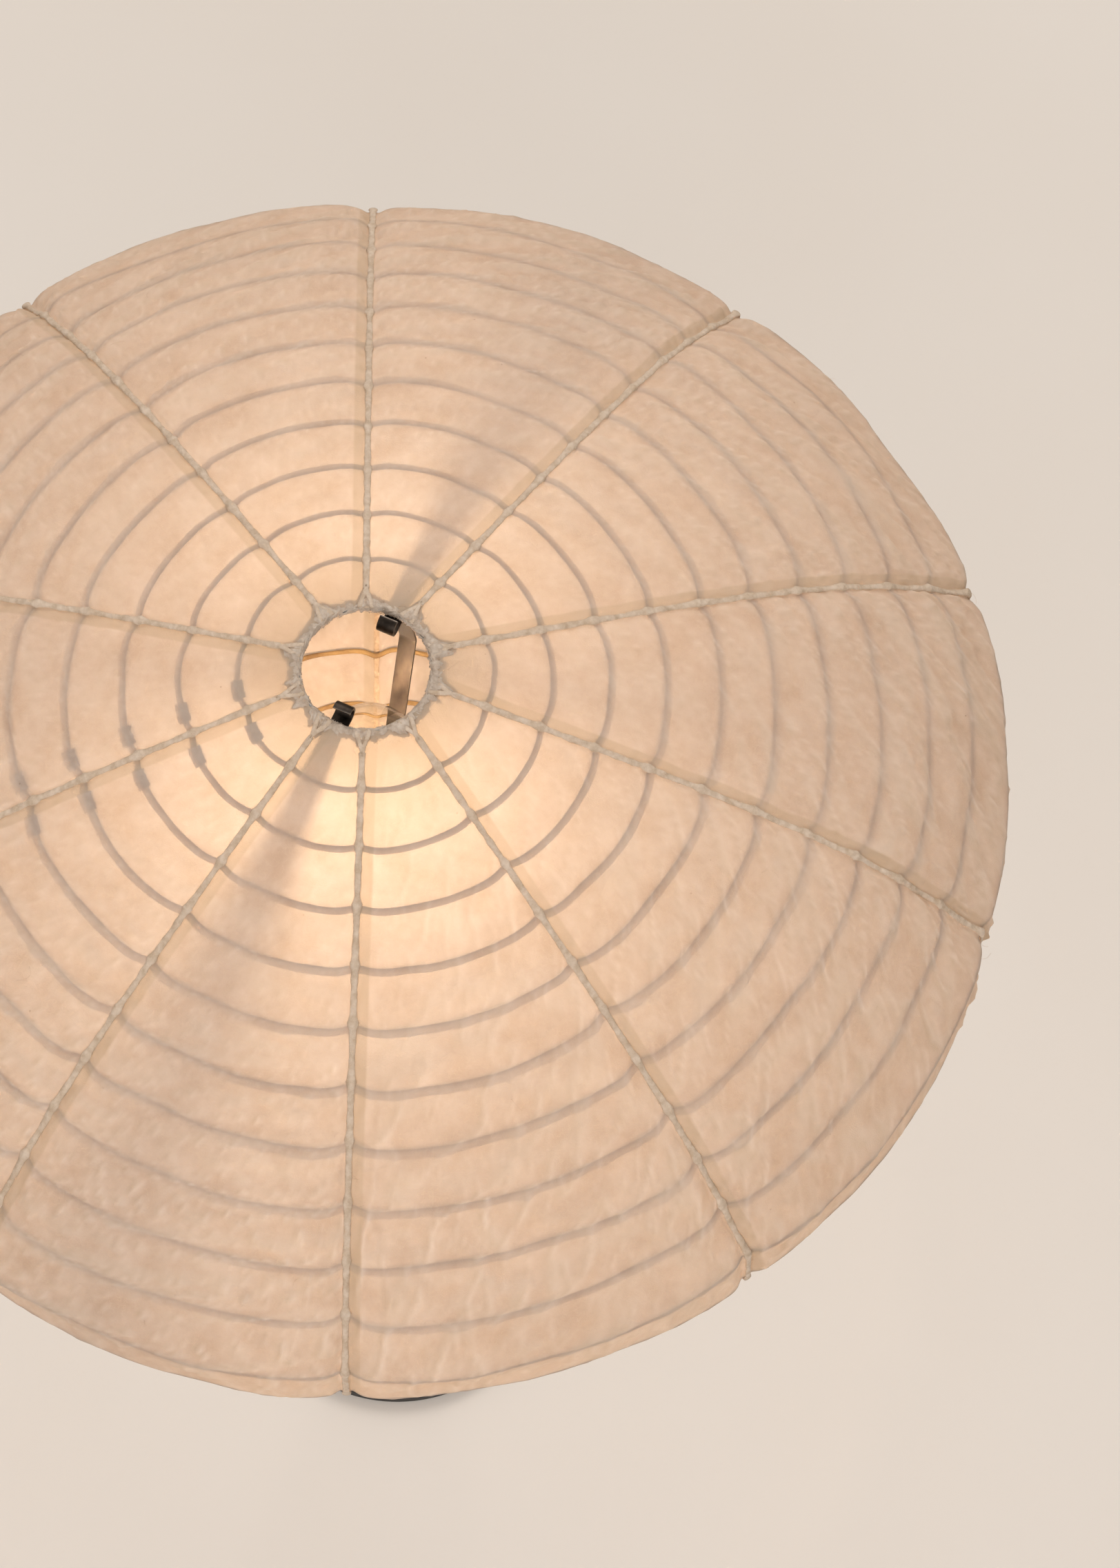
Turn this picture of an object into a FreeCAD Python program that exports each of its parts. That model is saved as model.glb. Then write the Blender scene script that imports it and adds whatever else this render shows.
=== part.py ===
"""Floor-standing paper lantern: a saucer shade of bamboo hoops, thread and paper on a slim steel stand.

The frame is +Z up, in millimetres, with the origin on the floor under the middle of the base.
The shade hangs by its top ring from two sprung straps that rise beside the bulb. Its hoops are
spaced evenly along a shallow slope that steepens towards the rim, and the lower half mirrors the
upper one down to a larger ring at the foot of the shade.
"""
import math
import os

import FreeCAD
import Part

DOCUMENT_NAME = "PaperLantern"
SHEET_NAME = "Sizes"

# Every driving size, in millimetres, degrees or plain counts, with what it is.
SIZES = [
    # The shade.
    ("top_ring_height", 1180, "centre of the top ring above the floor"),
    ("top_ring_radius", 39, "centre line of the top ring"),
    ("rim_radius", 380, "centre line of the widest hoops"),
    ("upper_rise", 131, "top ring above the last upper hoop"),
    ("rim_band", 34, "last upper hoop above the first lower one"),
    ("edge_crowding", 0.07, "how far the hoops draw together at the rim, as a share"),
    ("edge_droop", 0.41, "share of the rise that comes from the curl at the rim"),
    ("upper_hoops", 11, "hoops between the top ring and the rim"),
    ("lower_hoops", 10, "hoops between the rim and the bottom ring"),
    ("gores", 10, "strips of paper, and threads, round the shade"),
    ("hoop_thickness", 3, "split bamboo of each hoop"),
    ("sleeve_wall", 0.5, "paper wound round a hoop where its ends meet"),
    ("sleeve_length", 12, "length of each of those two wraps"),
    ("sleeve_offset", 14, "middle of each wrap from the joint"),
    ("splice_azimuth", 292.5, "where the hoops are joined, from the front towards the right"),
    ("ring_wire", 3, "steel wire of the top and bottom rings"),
    ("binding_wall", 1.2, "paper wound round those rings"),
    ("thread_thickness", 1.4, "thread that ties the hoops together"),
    ("thread_azimuth", 1.5, "first thread, from the front towards the right"),
    ("paper_thickness", 0.5, "paper with its paste and overlaps"),
    ("shade_gap", 0.3, "clearance between pieces that move apart"),
    # The strap stretcher and the bar under it.
    ("strap_azimuth", 338.5, "plane of the two straps, from the front towards the right"),
    ("strap_width", 11, "spring steel strap"),
    ("strap_thickness", 1.6, "spring steel strap"),
    ("hook_radius", 5.2, "curl that the top ring sits against"),
    ("hook_gap", 4.5, "between the tip of that curl and the ring's binding"),
    ("shoulder_margin", 6, "strap's turn under the ring, outside the ring"),
    ("belly_margin", 16, "strap at its widest, outside the ring"),
    ("belly_drop", 64, "widest place below the top ring"),
    ("waist_clearance", 3, "strap beside the neck of the bulb, outside the bulb's widest"),
    ("waist_drop", 152, "that place below the top ring"),
    ("foot_clearance", 5, "strap's turn under the lamp holder, outside the holder"),
    ("foot_nut_gap", 1.9, "inner end of each strap beyond the corners of the lock nut"),
    ("shoulder_bend", 4.5, "bend of the strap under the ring"),
    ("belly_bend", 13.5, "bend of the strap at its widest"),
    ("waist_bend", 36, "slow bend of the strap beside the bulb"),
    ("foot_bend", 4, "tight bend at the foot of each strap"),
    ("spreader_rise", 12, "turned-up ends of the bar in the bottom ring"),
    ("spreader_drop", 6, "that bar below the bottom ring"),
    # The bulb.
    ("bulb_radius", 30, "glass at its widest"),
    ("bulb_drop", 120, "middle of the glass below the top ring"),
    ("bulb_glass", 1, "glass wall"),
    ("glass_flare", 0.6, "start of the neck below the middle, as a share of the glass's radius"),
    ("neck_drop", 52, "end of the glass below its middle"),
    ("cap_radius", 13, "screw cap over its thread"),
    ("cap_wall", 0.9, "sheet metal of the cap"),
    ("cap_length", 25, "screw cap"),
    ("cap_overlap", 5, "glass inside the cap"),
    ("contact_radius", 4.5, "centre contact of the bulb"),
    ("contact_height", 3, "centre contact of the bulb"),
    ("filament_radius", 12, "ring of the light source"),
    ("filament_wire", 1.6, "light source, thick"),
    ("filament_stem", 3.2, "radius of the glass stem that carries the light source"),
    # The lamp holder.
    ("shell_wall", 5.8, "moulded shell outside the sleeve"),
    ("cup_wall", 2, "moulded cup beside the core"),
    ("core_ledge", 4, "ledge of the cup under the core"),
    ("holder_lip", 2, "shell above the sleeve"),
    ("cap_clearance", 0.5, "bulb cap in the sleeve"),
    ("sleeve_metal", 0.7, "brass sleeve"),
    ("core_height", 8, "ceramic core"),
    ("wiring_space", 9, "hollow under the core"),
    ("cup_floor", 3, "floor of the holder"),
    ("cup_split", 9, "joint of the holder's cup and shell above the core"),
    ("spring_height", 3, "centre contact of the holder"),
    # The stand.
    ("plate_thickness", 2.5, "plate under the holder"),
    ("rivet_radius", 1.6, "rivets of the strap feet"),
    ("rivet_head", 1.2, "height of a rivet head"),
    ("rivet_rim", 1.1, "rivet head beyond its shank"),
    ("rivet_setback", 6, "rivets beyond the inner ends of the straps"),
    ("nipple_radius", 5, "threaded tube through the plate"),
    ("nipple_bore", 3.6, "way for the wires"),
    ("nipple_grip", 14, "threaded tube inside the stem"),
    ("nut_flats", 14, "lock nuts across their flats"),
    ("nut_height", 4, "lock nuts"),
    ("nut_stub", 1, "threaded tube beyond its upper nut"),
    ("stem_wall", 1.45, "steel tube of the stand"),
    ("running_fit", 0.05, "tube in its bores"),
    ("collar_wall", 4.45, "collar under the bar"),
    ("collar_height", 10, "collar under the bar"),
    ("screw_radius", 2, "grub screw of the collar"),
    ("base_radius", 125, "round base"),
    ("base_thickness", 12, "round base"),
    ("base_edge", 2, "rounding of the base's upper edge"),
    ("felt_thickness", 2, "felt under the base"),
    ("felt_margin", 4, "edge of the felt inside the base's edge"),
    ("stem_setback", 1, "foot of the stem above the underside of the base"),
    ("recess_room", 8, "recess under the base beyond the corners of the stem nut"),
    ("recess_depth", 7, "recess under the base"),
    ("stem_nut_flats", 20, "nut on the stem's foot across its flats"),
    ("stem_nut_height", 5, "nut on the stem's foot"),
    ("cord_bore", 3.3, "way for a mains lead"),
    ("lead_room", 1.2, "way through the base wider than the gland's bore, all round"),
    ("gland_wall", 1.7, "cord gland"),
    ("gland_length", 16, "cord gland outside the base"),
]

doc = FreeCAD.newDocument(DOCUMENT_NAME)
sheet = doc.addObject("Spreadsheet::Sheet", SHEET_NAME)
for row, (alias, value, meaning) in enumerate(SIZES, start=1):
    sheet.set(f"A{row}", str(value))
    sheet.setAlias(f"A{row}", alias)
    sheet.set(f"B{row}", "'" + meaning)
doc.recompute()

pieces = []


def size(alias):
    """A driving size as a plain number, for shapes that are worked out point by point."""
    return float(getattr(sheet, alias))


def worked(expression):
    """The value of an expression of the sizes."""
    return float(sheet.evalExpression(cells(expression)))


def cells(text):
    """An expression with each size's name turned into its cell of the sheet."""
    for alias in sorted(ALIASES, key=len, reverse=True):
        text = text.replace("{" + alias + "}", f"{SHEET_NAME}.{alias}")
    return text


def bound(kind, name, **expressions):
    """Adds an object whose properties follow expressions of the sizes."""
    made = doc.addObject(kind, name)
    for prop, expression in expressions.items():
        made.setExpression(prop.replace("__", "."), cells(expression))
    return made


def subpart(label, made):
    """Names a finished object as a piece of the lantern."""
    made.Label = label
    pieces.append(made)
    return made


def cylinder(name, radius, low, height):
    """An upright cylinder about the axis."""
    return bound("Part::Cylinder", name, Radius=radius, Height=height, Placement__Base__z=low)


def cut(name, base, tool):
    """The base with the tool taken away."""
    made = doc.addObject("Part::Cut", name)
    made.Base = base
    made.Tool = tool
    return made


def fuse(name, *shapes):
    """Several shapes made one."""
    made = doc.addObject("Part::MultiFuse", name)
    made.Shapes = list(shapes)
    made.Refine = True
    return made


def tube(name, outer, inner, low, height):
    """An upright tube about the axis."""
    wall = cylinder(name + "_outside", outer, low, height)
    bore = cylinder(name + "_bore", inner, low, height)
    return cut(name, wall, bore)


def turned(azimuth, radius, height=0.0):
    """A point at an azimuth that grows from the front (-Y) towards the right (+X)."""
    angle = math.radians(azimuth)
    return FreeCAD.Vector(radius * math.sin(angle), -radius * math.cos(angle), height)


def turn_to(azimuth):
    """The turn about the axis that takes the XZ plane's +X side to an azimuth."""
    return FreeCAD.Rotation(UPRIGHT, azimuth - 90)


ALIASES = [alias for alias, value, meaning in SIZES]
UPRIGHT = FreeCAD.Vector(0, 0, 1)
# An object whose turn follows an expression starts a degree round, which fixes the axis of the turn.
STARTING_TURN = FreeCAD.Rotation(UPRIGHT, 1)
TOUCHING = 1e-6

# Radii that follow from what they fit round, as expressions.
RING_COVER = "({ring_wire} / 2 + {binding_wall})"
SLEEVE_INNER = "({cap_radius} + {cap_clearance})"
SLEEVE_OUTER = f"({SLEEVE_INNER} + {{sleeve_metal}})"
HOLDER_RADIUS = f"({SLEEVE_OUTER} + {{shell_wall}})"
CAP_INSIDE = "({cap_radius} - {cap_wall})"
NECK_RADIUS = f"({CAP_INSIDE} - {{running_fit}})"
NIPPLE_WAY = "({nipple_radius} + {running_fit})"
STEM_RADIUS = f"({NIPPLE_WAY} + {{stem_wall}})"
STEM_WAY = f"({STEM_RADIUS} + {{running_fit}})"
COLLAR_RADIUS = f"({STEM_WAY} + {{collar_wall}})"
LOCK_NUT_CORNER = "({nut_flats} / sqrt(3))"
STEM_NUT_CORNER = "({stem_nut_flats} / sqrt(3))"
RECESS_RADIUS = f"({STEM_NUT_CORNER} + {{recess_room}})"
FOOT_INSET = f"({LOCK_NUT_CORNER} + {{foot_nut_gap}})"
RIVET_REACH = f"({FOOT_INSET} + {{rivet_setback}})"
UPPER_HOOPS = int(size("upper_hoops"))
LOWER_HOOPS = int(size("lower_hoops"))
GORES = int(size("gores"))

# ---------------------------------------------------------------- profile of the shade
# With t the share of the upper slope from the top ring to the rim, a hoop's radius is
# ring + (rim - ring) * ((1 + crowding) * t - crowding * t^4) and its drop below the top ring is
# rise * ((1 - droop) * t + droop * t^4). The lower half has the same hoops upside down.


def slope_share(index):
    """t of an upper hoop, as text for an expression."""
    return f"({index} / {{upper_hoops}})"


def hoop_radius(index):
    """Radius of an upper hoop, counted from the top ring, as an expression."""
    share = slope_share(index)
    return (
        "{top_ring_radius} + ({rim_radius} - {top_ring_radius}) * "
        f"((1 + {{edge_crowding}}) * {share} - {{edge_crowding}} * {share}^4)"
    )


def hoop_drop(index):
    """Drop of an upper hoop below the top ring, as an expression."""
    share = slope_share(index)
    return f"({{upper_rise}} * ((1 - {{edge_droop}}) * {share} + {{edge_droop}} * {share}^4))"


def lower_drop(index):
    """Drop of the lower hoop that mirrors an upper one, as an expression."""
    return f"(2 * {{upper_rise}} + {{rim_band}} - {hoop_drop(index)})"


def profile_point(index, lower=False):
    """Radius and height of a hoop's centre, as numbers."""
    share = index / UPPER_HOOPS
    crowding = size("edge_crowding")
    droop = size("edge_droop")
    width = size("rim_radius") - size("top_ring_radius")
    radius = size("top_ring_radius") + width * ((1 + crowding) * share - crowding * share**4)
    drop = size("upper_rise") * ((1 - droop) * share + droop * share**4)
    if lower:
        drop = 2 * size("upper_rise") + size("rim_band") - drop
    return radius, size("top_ring_height") - drop


BOTTOM_INDEX = UPPER_HOOPS - LOWER_HOOPS
upper_points = [profile_point(index) for index in range(UPPER_HOOPS + 1)]
lower_points = [profile_point(index, True) for index in range(UPPER_HOOPS, BOTTOM_INDEX - 1, -1)]
profile = upper_points + lower_points


def offset_profile(distance):
    """The hoops' profile moved outwards by a distance, with sharp corners."""
    moved = []
    for place, (radius, height) in enumerate(profile):
        before = profile[max(place - 1, 0)]
        after = profile[min(place + 1, len(profile) - 1)]
        normals = []
        for start, end in ((before, (radius, height)), ((radius, height), after)):
            run = (end[0] - start[0], end[1] - start[1])
            length = math.hypot(*run)
            if length > 0:
                normals.append((-run[1] / length, run[0] / length))
        across = [sum(n[axis] for n in normals) for axis in (0, 1)]
        scale = distance / (across[0] * normals[0][0] + across[1] * normals[0][1])
        moved.append(FreeCAD.Vector(radius + across[0] * scale, 0, height + across[1] * scale))
    return moved


def profile_band(inner, outer):
    """The flat face in the XZ plane between two offsets of the profile."""
    outline = offset_profile(outer) + offset_profile(inner)[::-1]
    return Part.Face(Part.makePolygon(outline + outline[:1]))


# ---------------------------------------------------------------- rings and hoops


def hoop(label, index, drop):
    """A bamboo hoop and the two paper wraps beside its joint."""
    ring = bound(
        "Part::Torus",
        label + "_ring",
        Radius1=hoop_radius(index),
        Radius2="{hoop_thickness} / 2",
        Placement__Base__z="{top_ring_height} - " + drop,
    )
    wraps = []
    for side, sign in (("left", "-"), ("right", "+")):
        middle = f"{{splice_azimuth}} - 90 {sign} {{sleeve_offset}} / ({hoop_radius(index)}) * 180 / pi"
        wrap = bound(
            "Part::Torus",
            f"{label}_{side}_wrap",
            Radius1=hoop_radius(index),
            Radius2="{hoop_thickness} / 2 + {sleeve_wall}",
            Angle3=f"{{sleeve_length}} / ({hoop_radius(index)}) * 180 / pi",
            Placement__Base__z="{top_ring_height} - " + drop,
        )
        wrap.Placement.Rotation = STARTING_TURN
        wrap.setExpression(
            "Placement.Rotation.Angle",
            cells(f"{middle} - {{sleeve_length}} / ({hoop_radius(index)}) * 90 / pi"),
        )
        wraps.append(wrap)
    return subpart(label, fuse(label, ring, *wraps))


def ring_and_binding(name, radius, drop):
    """A wire ring and the paper wound round it."""
    place = "{top_ring_height} - " + drop
    ring = bound(
        "Part::Torus", name + "_ring", Radius1=radius, Radius2="{ring_wire} / 2", Placement__Base__z=place
    )
    wrap = bound(
        "Part::Torus", name + "_wrap", Radius1=radius, Radius2=RING_COVER, Placement__Base__z=place
    )
    hollow = bound(
        "Part::Torus", name + "_hollow", Radius1=radius, Radius2="{ring_wire} / 2", Placement__Base__z=place
    )
    subpart(name + "_ring", ring)
    subpart(name + "_binding", cut(name + "_binding", wrap, hollow))


ring_and_binding("top", "{top_ring_radius}", "0")
for number in range(1, UPPER_HOOPS + 1):
    hoop(f"upper_rib_{number:02d}", number, hoop_drop(number))
for number in range(1, LOWER_HOOPS + 1):
    mirrored = UPPER_HOOPS + 1 - number
    hoop(f"lower_rib_{number:02d}", mirrored, lower_drop(mirrored))
ring_and_binding("bottom", hoop_radius(BOTTOM_INDEX), lower_drop(BOTTOM_INDEX))

# ---------------------------------------------------------------- threads and paper
# The threads lie on the hoops and the paper lies over the threads, each with its clearance.
ring_cover = worked(RING_COVER)
thread_inner = max(ring_cover, size("hoop_thickness") / 2 + size("sleeve_wall")) + size("shade_gap")
thread_outer = thread_inner + size("thread_thickness")
paper_inner = thread_outer + size("shade_gap")
paper_outer = paper_inner + size("paper_thickness")

thread_band = profile_band(thread_inner, thread_outer)
threads = []
for number in range(GORES):
    strand = thread_band.extrude(FreeCAD.Vector(0, size("thread_thickness"), 0))
    strand.translate(FreeCAD.Vector(0, -size("thread_thickness") / 2, 0))
    strand.rotate(FreeCAD.Vector(0, 0, 0), UPRIGHT, size("thread_azimuth") - 90 + 360 * number / GORES)
    threads.append(strand)
thread_feature = doc.addObject("Part::Feature", "meridian_threads")
thread_feature.Shape = Part.makeCompound(threads)
subpart("meridian_threads", thread_feature)

paper_band = doc.addObject("Part::Feature", "paper_band")
paper_band.Shape = profile_band(paper_inner, paper_outer)
for number in range(GORES):
    gore = bound("Part::Revolution", f"paper_gore_{number + 1:02d}", Angle="360 / {gores}")
    gore.Source = paper_band
    gore.Axis = UPRIGHT
    gore.Base = FreeCAD.Vector(0, 0, 0)
    gore.Solid = True
    gore.Placement.Rotation = STARTING_TURN
    gore.setExpression(
        "Placement.Rotation.Angle", cells(f"{{thread_azimuth}} - 90 + 360 * {number} / {{gores}}")
    )
    subpart(f"paper_gore_{number + 1:02d}", gore)

# ---------------------------------------------------------------- straps


def rounded_path(points, radii):
    """A wire of straight runs in the XZ plane with a tangent arc at each inner point."""
    edges = []
    start = points[0]
    for before, corner, after, radius in zip(points, points[1:], points[2:], radii):
        inward = (before - corner).normalize()
        outward = (after - corner).normalize()
        half_turn = inward.getAngle(outward) / 2
        reach = radius / math.tan(half_turn)
        arc_start = corner + inward * reach
        arc_end = corner + outward * reach
        middle = corner + (inward + outward).normalize() * (radius / math.sin(half_turn) - radius)
        if (arc_start - start).Length > TOUCHING:
            edges.append(Part.LineSegment(start, arc_start).toShape())
        edges.append(Part.Arc(arc_start, middle, arc_end).toShape())
        start = arc_end
    edges.append(Part.LineSegment(start, points[-1]).toShape())
    return Part.Wire(edges)


def strap(path, first_run):
    """The strap's section carried along a path in the XZ plane."""
    half_width = size("strap_width") / 2
    half_thickness = size("strap_thickness") / 2
    start = path.Vertexes[0].Point
    along = FreeCAD.Vector(first_run).normalize()
    across = along.cross(FreeCAD.Vector(0, 1, 0)).normalize() * half_thickness
    aside = FreeCAD.Vector(0, half_width, 0)
    corners = [
        start + across + aside,
        start + across - aside,
        start - across - aside,
        start - across + aside,
    ]
    section = Part.makePolygon(corners + corners[:1])
    return path.makePipeShell([section], True, False)


def xz(radius, height):
    """A point in the XZ plane."""
    return FreeCAD.Vector(radius, 0, height)


ring_height = size("top_ring_height")
half_strap = size("strap_thickness") / 2
under_ring = ring_height - ring_cover - size("shade_gap") - half_strap
hook_top = under_ring + 2 * size("hook_radius")
hook_middle = size("top_ring_radius") - ring_cover - size("hook_gap") - half_strap
hook_inner = hook_middle - size("hook_radius")
cap_bottom = ring_height - size("bulb_drop") - size("neck_drop") + size("cap_overlap") - size("cap_length")
bulb_bottom = cap_bottom - size("contact_height")
core_top = bulb_bottom - size("shade_gap") - size("spring_height")
core_bottom = core_top - size("core_height")
holder_bottom = core_bottom - size("wiring_space") - size("cup_floor")
plate_bottom = holder_bottom - size("plate_thickness")
foot_level = plate_bottom - half_strap

arm_points = [
    xz(worked(FOOT_INSET), foot_level),
    xz(worked(HOLDER_RADIUS) + size("foot_clearance"), foot_level),
    xz(size("bulb_radius") + size("waist_clearance"), ring_height - size("waist_drop")),
    xz(size("top_ring_radius") + size("belly_margin"), ring_height - size("belly_drop")),
    xz(size("top_ring_radius") + size("shoulder_margin"), under_ring),
    xz(hook_inner, under_ring),
    xz(hook_inner, hook_top),
    xz(hook_middle + half_strap, hook_top),
]
# The curl's two bends are a hair tighter than the curl, so that a sliver of straight strap joins them.
curl_bend = size("hook_radius") * 0.999
arm_bends = [size("foot_bend"), size("waist_bend"), size("belly_bend"), size("shoulder_bend")]
arm_path = rounded_path(arm_points, arm_bends + [curl_bend, curl_bend])
arm_shape = strap(arm_path, arm_points[1] - arm_points[0])


def drilled(shape, radius, place, level):
    """A strap with an upright round hole through the run of it at a level."""
    reach = size("strap_thickness")
    return shape.cut(Part.makeCylinder(radius, 2 * reach, xz(place, level - reach)))


arm_shape = drilled(arm_shape, size("rivet_radius"), worked(RIVET_REACH), foot_level)
for label, azimuth in (
    ("stretcher_arm_front", size("strap_azimuth")),
    ("stretcher_arm_back", size("strap_azimuth") + 180),
):
    arm = doc.addObject("Part::Feature", label)
    arm.Shape = arm_shape
    arm.Placement = FreeCAD.Placement(FreeCAD.Vector(0, 0, 0), turn_to(azimuth))
    subpart(label, arm)

bottom_radius, bottom_height = profile[-1]
spreader_level = bottom_height - size("spreader_drop")
ring_inside = bottom_radius - ring_cover - size("shade_gap")
spreader_tip = math.sqrt(ring_inside**2 - (size("strap_width") / 2) ** 2) - half_strap
spreader_points = [
    xz(-spreader_tip, spreader_level + size("spreader_rise")),
    xz(-spreader_tip, spreader_level),
    xz(spreader_tip, spreader_level),
    xz(spreader_tip, spreader_level + size("spreader_rise")),
]
spreader_path = rounded_path(spreader_points, [size("foot_bend")] * 2)
spreader_bar = strap(spreader_path, spreader_points[1] - spreader_points[0])
boss = Part.makeCylinder(worked(COLLAR_RADIUS), size("strap_thickness"), xz(0, spreader_level - half_strap))
spreader_bar = drilled(spreader_bar.fuse(boss), worked(STEM_WAY), 0, spreader_level)
spreader = doc.addObject("Part::Feature", "lower_spreader")
spreader.Shape = spreader_bar.removeSplitter()
spreader.Placement = FreeCAD.Placement(FreeCAD.Vector(0, 0, 0), turn_to(size("strap_azimuth")))
subpart("lower_spreader", spreader)

# ---------------------------------------------------------------- bulb
BULB_MIDDLE = "({top_ring_height} - {bulb_drop})"
GLASS_END = f"({BULB_MIDDLE} - {{neck_drop}})"
CAP_TOP = f"({GLASS_END} + {{cap_overlap}})"
CAP_BOTTOM = f"({CAP_TOP} - {{cap_length}})"
BULB_BOTTOM = f"({CAP_BOTTOM} - {{contact_height}})"


def bulb_outline(name, inset):
    """A ball that runs into a tapering neck, drawn in by an inset."""
    ball = bound(
        "Part::Sphere", name + "_ball", Radius=f"{{bulb_radius}} - {inset}", Placement__Base__z=BULB_MIDDLE
    )
    neck = bound(
        "Part::Cone",
        name + "_neck",
        Radius1=f"{NECK_RADIUS} - {inset}",
        Radius2=f"({{bulb_radius}} - {inset}) * sqrt(1 - {{glass_flare}}^2)",
        Height="{neck_drop} - {cap_overlap} - {bulb_radius} * {glass_flare}",
        Placement__Base__z=CAP_TOP,
    )
    root = cylinder(name + "_root", f"{NECK_RADIUS} - {inset}", GLASS_END, "{cap_overlap}")
    return fuse(name, ball, neck, root)


glass_outside = bulb_outline("glass_outside", "0")
glass_inside = bulb_outline("glass_inside", "{bulb_glass}")
subpart("bulb_glass", cut("bulb_glass", glass_outside, glass_inside))
cap_body = cylinder("cap_body", "{cap_radius}", CAP_BOTTOM, "{cap_length}")
cap_bore = cylinder("cap_bore", CAP_INSIDE, f"{CAP_BOTTOM} + {{cap_wall}}", "{cap_length}")
subpart("bulb_cap", cut("bulb_cap", cap_body, cap_bore))
subpart("bulb_contact", cylinder("bulb_contact", "{contact_radius}", BULB_BOTTOM, "{contact_height}"))
filament_ring = bound(
    "Part::Torus",
    "filament_ring",
    Radius1="{filament_radius}",
    Radius2="{filament_wire} / 2",
    Placement__Base__z=BULB_MIDDLE,
)
filament_post = cylinder("filament_post", "{filament_stem}", GLASS_END, "{neck_drop} + {filament_wire}")
filament_bar = bound(
    "Part::Cylinder",
    "filament_bar",
    Radius="{filament_wire} / 2",
    Height="2 * {filament_radius}",
    Placement__Base__x="-{filament_radius}",
    Placement__Base__z=BULB_MIDDLE,
)
filament_bar.Placement.Rotation = FreeCAD.Rotation(FreeCAD.Vector(0, 1, 0), 90)
subpart("bulb_filament", fuse("bulb_filament", filament_ring, filament_post, filament_bar))

# ---------------------------------------------------------------- lamp holder
CORE_TOP = f"({BULB_BOTTOM} - {{shade_gap}} - {{spring_height}})"
CORE_BOTTOM = f"({CORE_TOP} - {{core_height}})"
HOLDER_BOTTOM = f"({CORE_BOTTOM} - {{wiring_space}} - {{cup_floor}})"
CORE_RADIUS = f"({HOLDER_RADIUS} - {{cup_wall}})"
CUP_TOP = f"({CORE_TOP} + {{cup_split}})"

subpart("holder_contact", cylinder("holder_contact", "{contact_radius}", CORE_TOP, "{spring_height}"))
subpart("holder_core", cylinder("holder_core", CORE_RADIUS, CORE_BOTTOM, "{core_height}"))
subpart(
    "holder_sleeve",
    tube("holder_sleeve", SLEEVE_OUTER, SLEEVE_INNER, CORE_TOP, f"{CAP_TOP} - {CORE_TOP} - {{holder_lip}}"),
)
subpart(
    "holder_shell",
    tube("holder_shell", HOLDER_RADIUS, SLEEVE_OUTER, CUP_TOP, f"{CAP_TOP} - {CUP_TOP}"),
)
cup_body = cylinder("cup_body", HOLDER_RADIUS, HOLDER_BOTTOM, f"{CUP_TOP} - {HOLDER_BOTTOM}")
cup_upper = cylinder("cup_upper", CORE_RADIUS, CORE_BOTTOM, f"{CUP_TOP} - {CORE_BOTTOM}")
cup_lower = cylinder(
    "cup_lower", f"{CORE_RADIUS} - {{core_ledge}}", f"{HOLDER_BOTTOM} + {{cup_floor}}", "{wiring_space}"
)
cup_way = cylinder("cup_way", NIPPLE_WAY, HOLDER_BOTTOM, "{cup_floor}")
subpart("holder_cup", cut("holder_cup", cup_body, fuse("cup_hollow", cup_upper, cup_lower, cup_way)))

# ---------------------------------------------------------------- plate, nipple, nuts and rivets
PLATE_BOTTOM = f"({HOLDER_BOTTOM} - {{plate_thickness}})"
STEM_TOP = f"({PLATE_BOTTOM} - {{nut_height}})"
plate_disc = tube("plate_disc", HOLDER_RADIUS, NIPPLE_WAY, PLATE_BOTTOM, "{plate_thickness}")


def rivet_place(made, azimuth):
    """Puts an upright round feature at a rivet's place, following the sizes."""
    made.setExpression("Placement.Base.x", cells(f"{RIVET_REACH} * sin({azimuth})"))
    made.setExpression("Placement.Base.y", cells(f"-{RIVET_REACH} * cos({azimuth})"))
    return made


plate_holes = []
rivets = []
for side, azimuth in (("front", "{strap_azimuth}"), ("back", "({strap_azimuth} + 180)")):
    way = cylinder(f"rivet_way_{side}", "{rivet_radius}", PLATE_BOTTOM, "{plate_thickness}")
    plate_holes.append(rivet_place(way, azimuth))
    shank = cylinder(
        f"rivet_shank_{side}",
        "{rivet_radius}",
        f"{PLATE_BOTTOM} - {{strap_thickness}}",
        "{plate_thickness} + {strap_thickness}",
    )
    head = cylinder(
        f"rivet_head_{side}",
        "{rivet_radius} + {rivet_rim}",
        f"{PLATE_BOTTOM} - {{strap_thickness}} - {{rivet_head}}",
        "{rivet_head}",
    )
    rivets.append(rivet_place(shank, azimuth))
    rivets.append(rivet_place(head, azimuth))
subpart("holder_plate", cut("holder_plate", plate_disc, fuse("rivet_ways", *plate_holes)))
subpart("arm_rivets", fuse("arm_rivets", *rivets))

NIPPLE_LOW = f"({STEM_TOP} - {{nipple_grip}})"
NIPPLE_TOP = f"({HOLDER_BOTTOM} + {{cup_floor}} + {{nut_height}} + {{nut_stub}})"
subpart(
    "nipple", tube("nipple", "{nipple_radius}", "{nipple_bore}", NIPPLE_LOW, f"{NIPPLE_TOP} - {NIPPLE_LOW}")
)


def hex_nut(name, corner, bore, low, height):
    """A hexagon nut about the axis."""
    block = bound(
        "Part::Prism", name + "_block", Circumradius=corner, Height=height, Placement__Base__z=low
    )
    block.Polygon = 6
    way = cylinder(name + "_way", bore, low, height)
    return cut(name, block, way)


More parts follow.
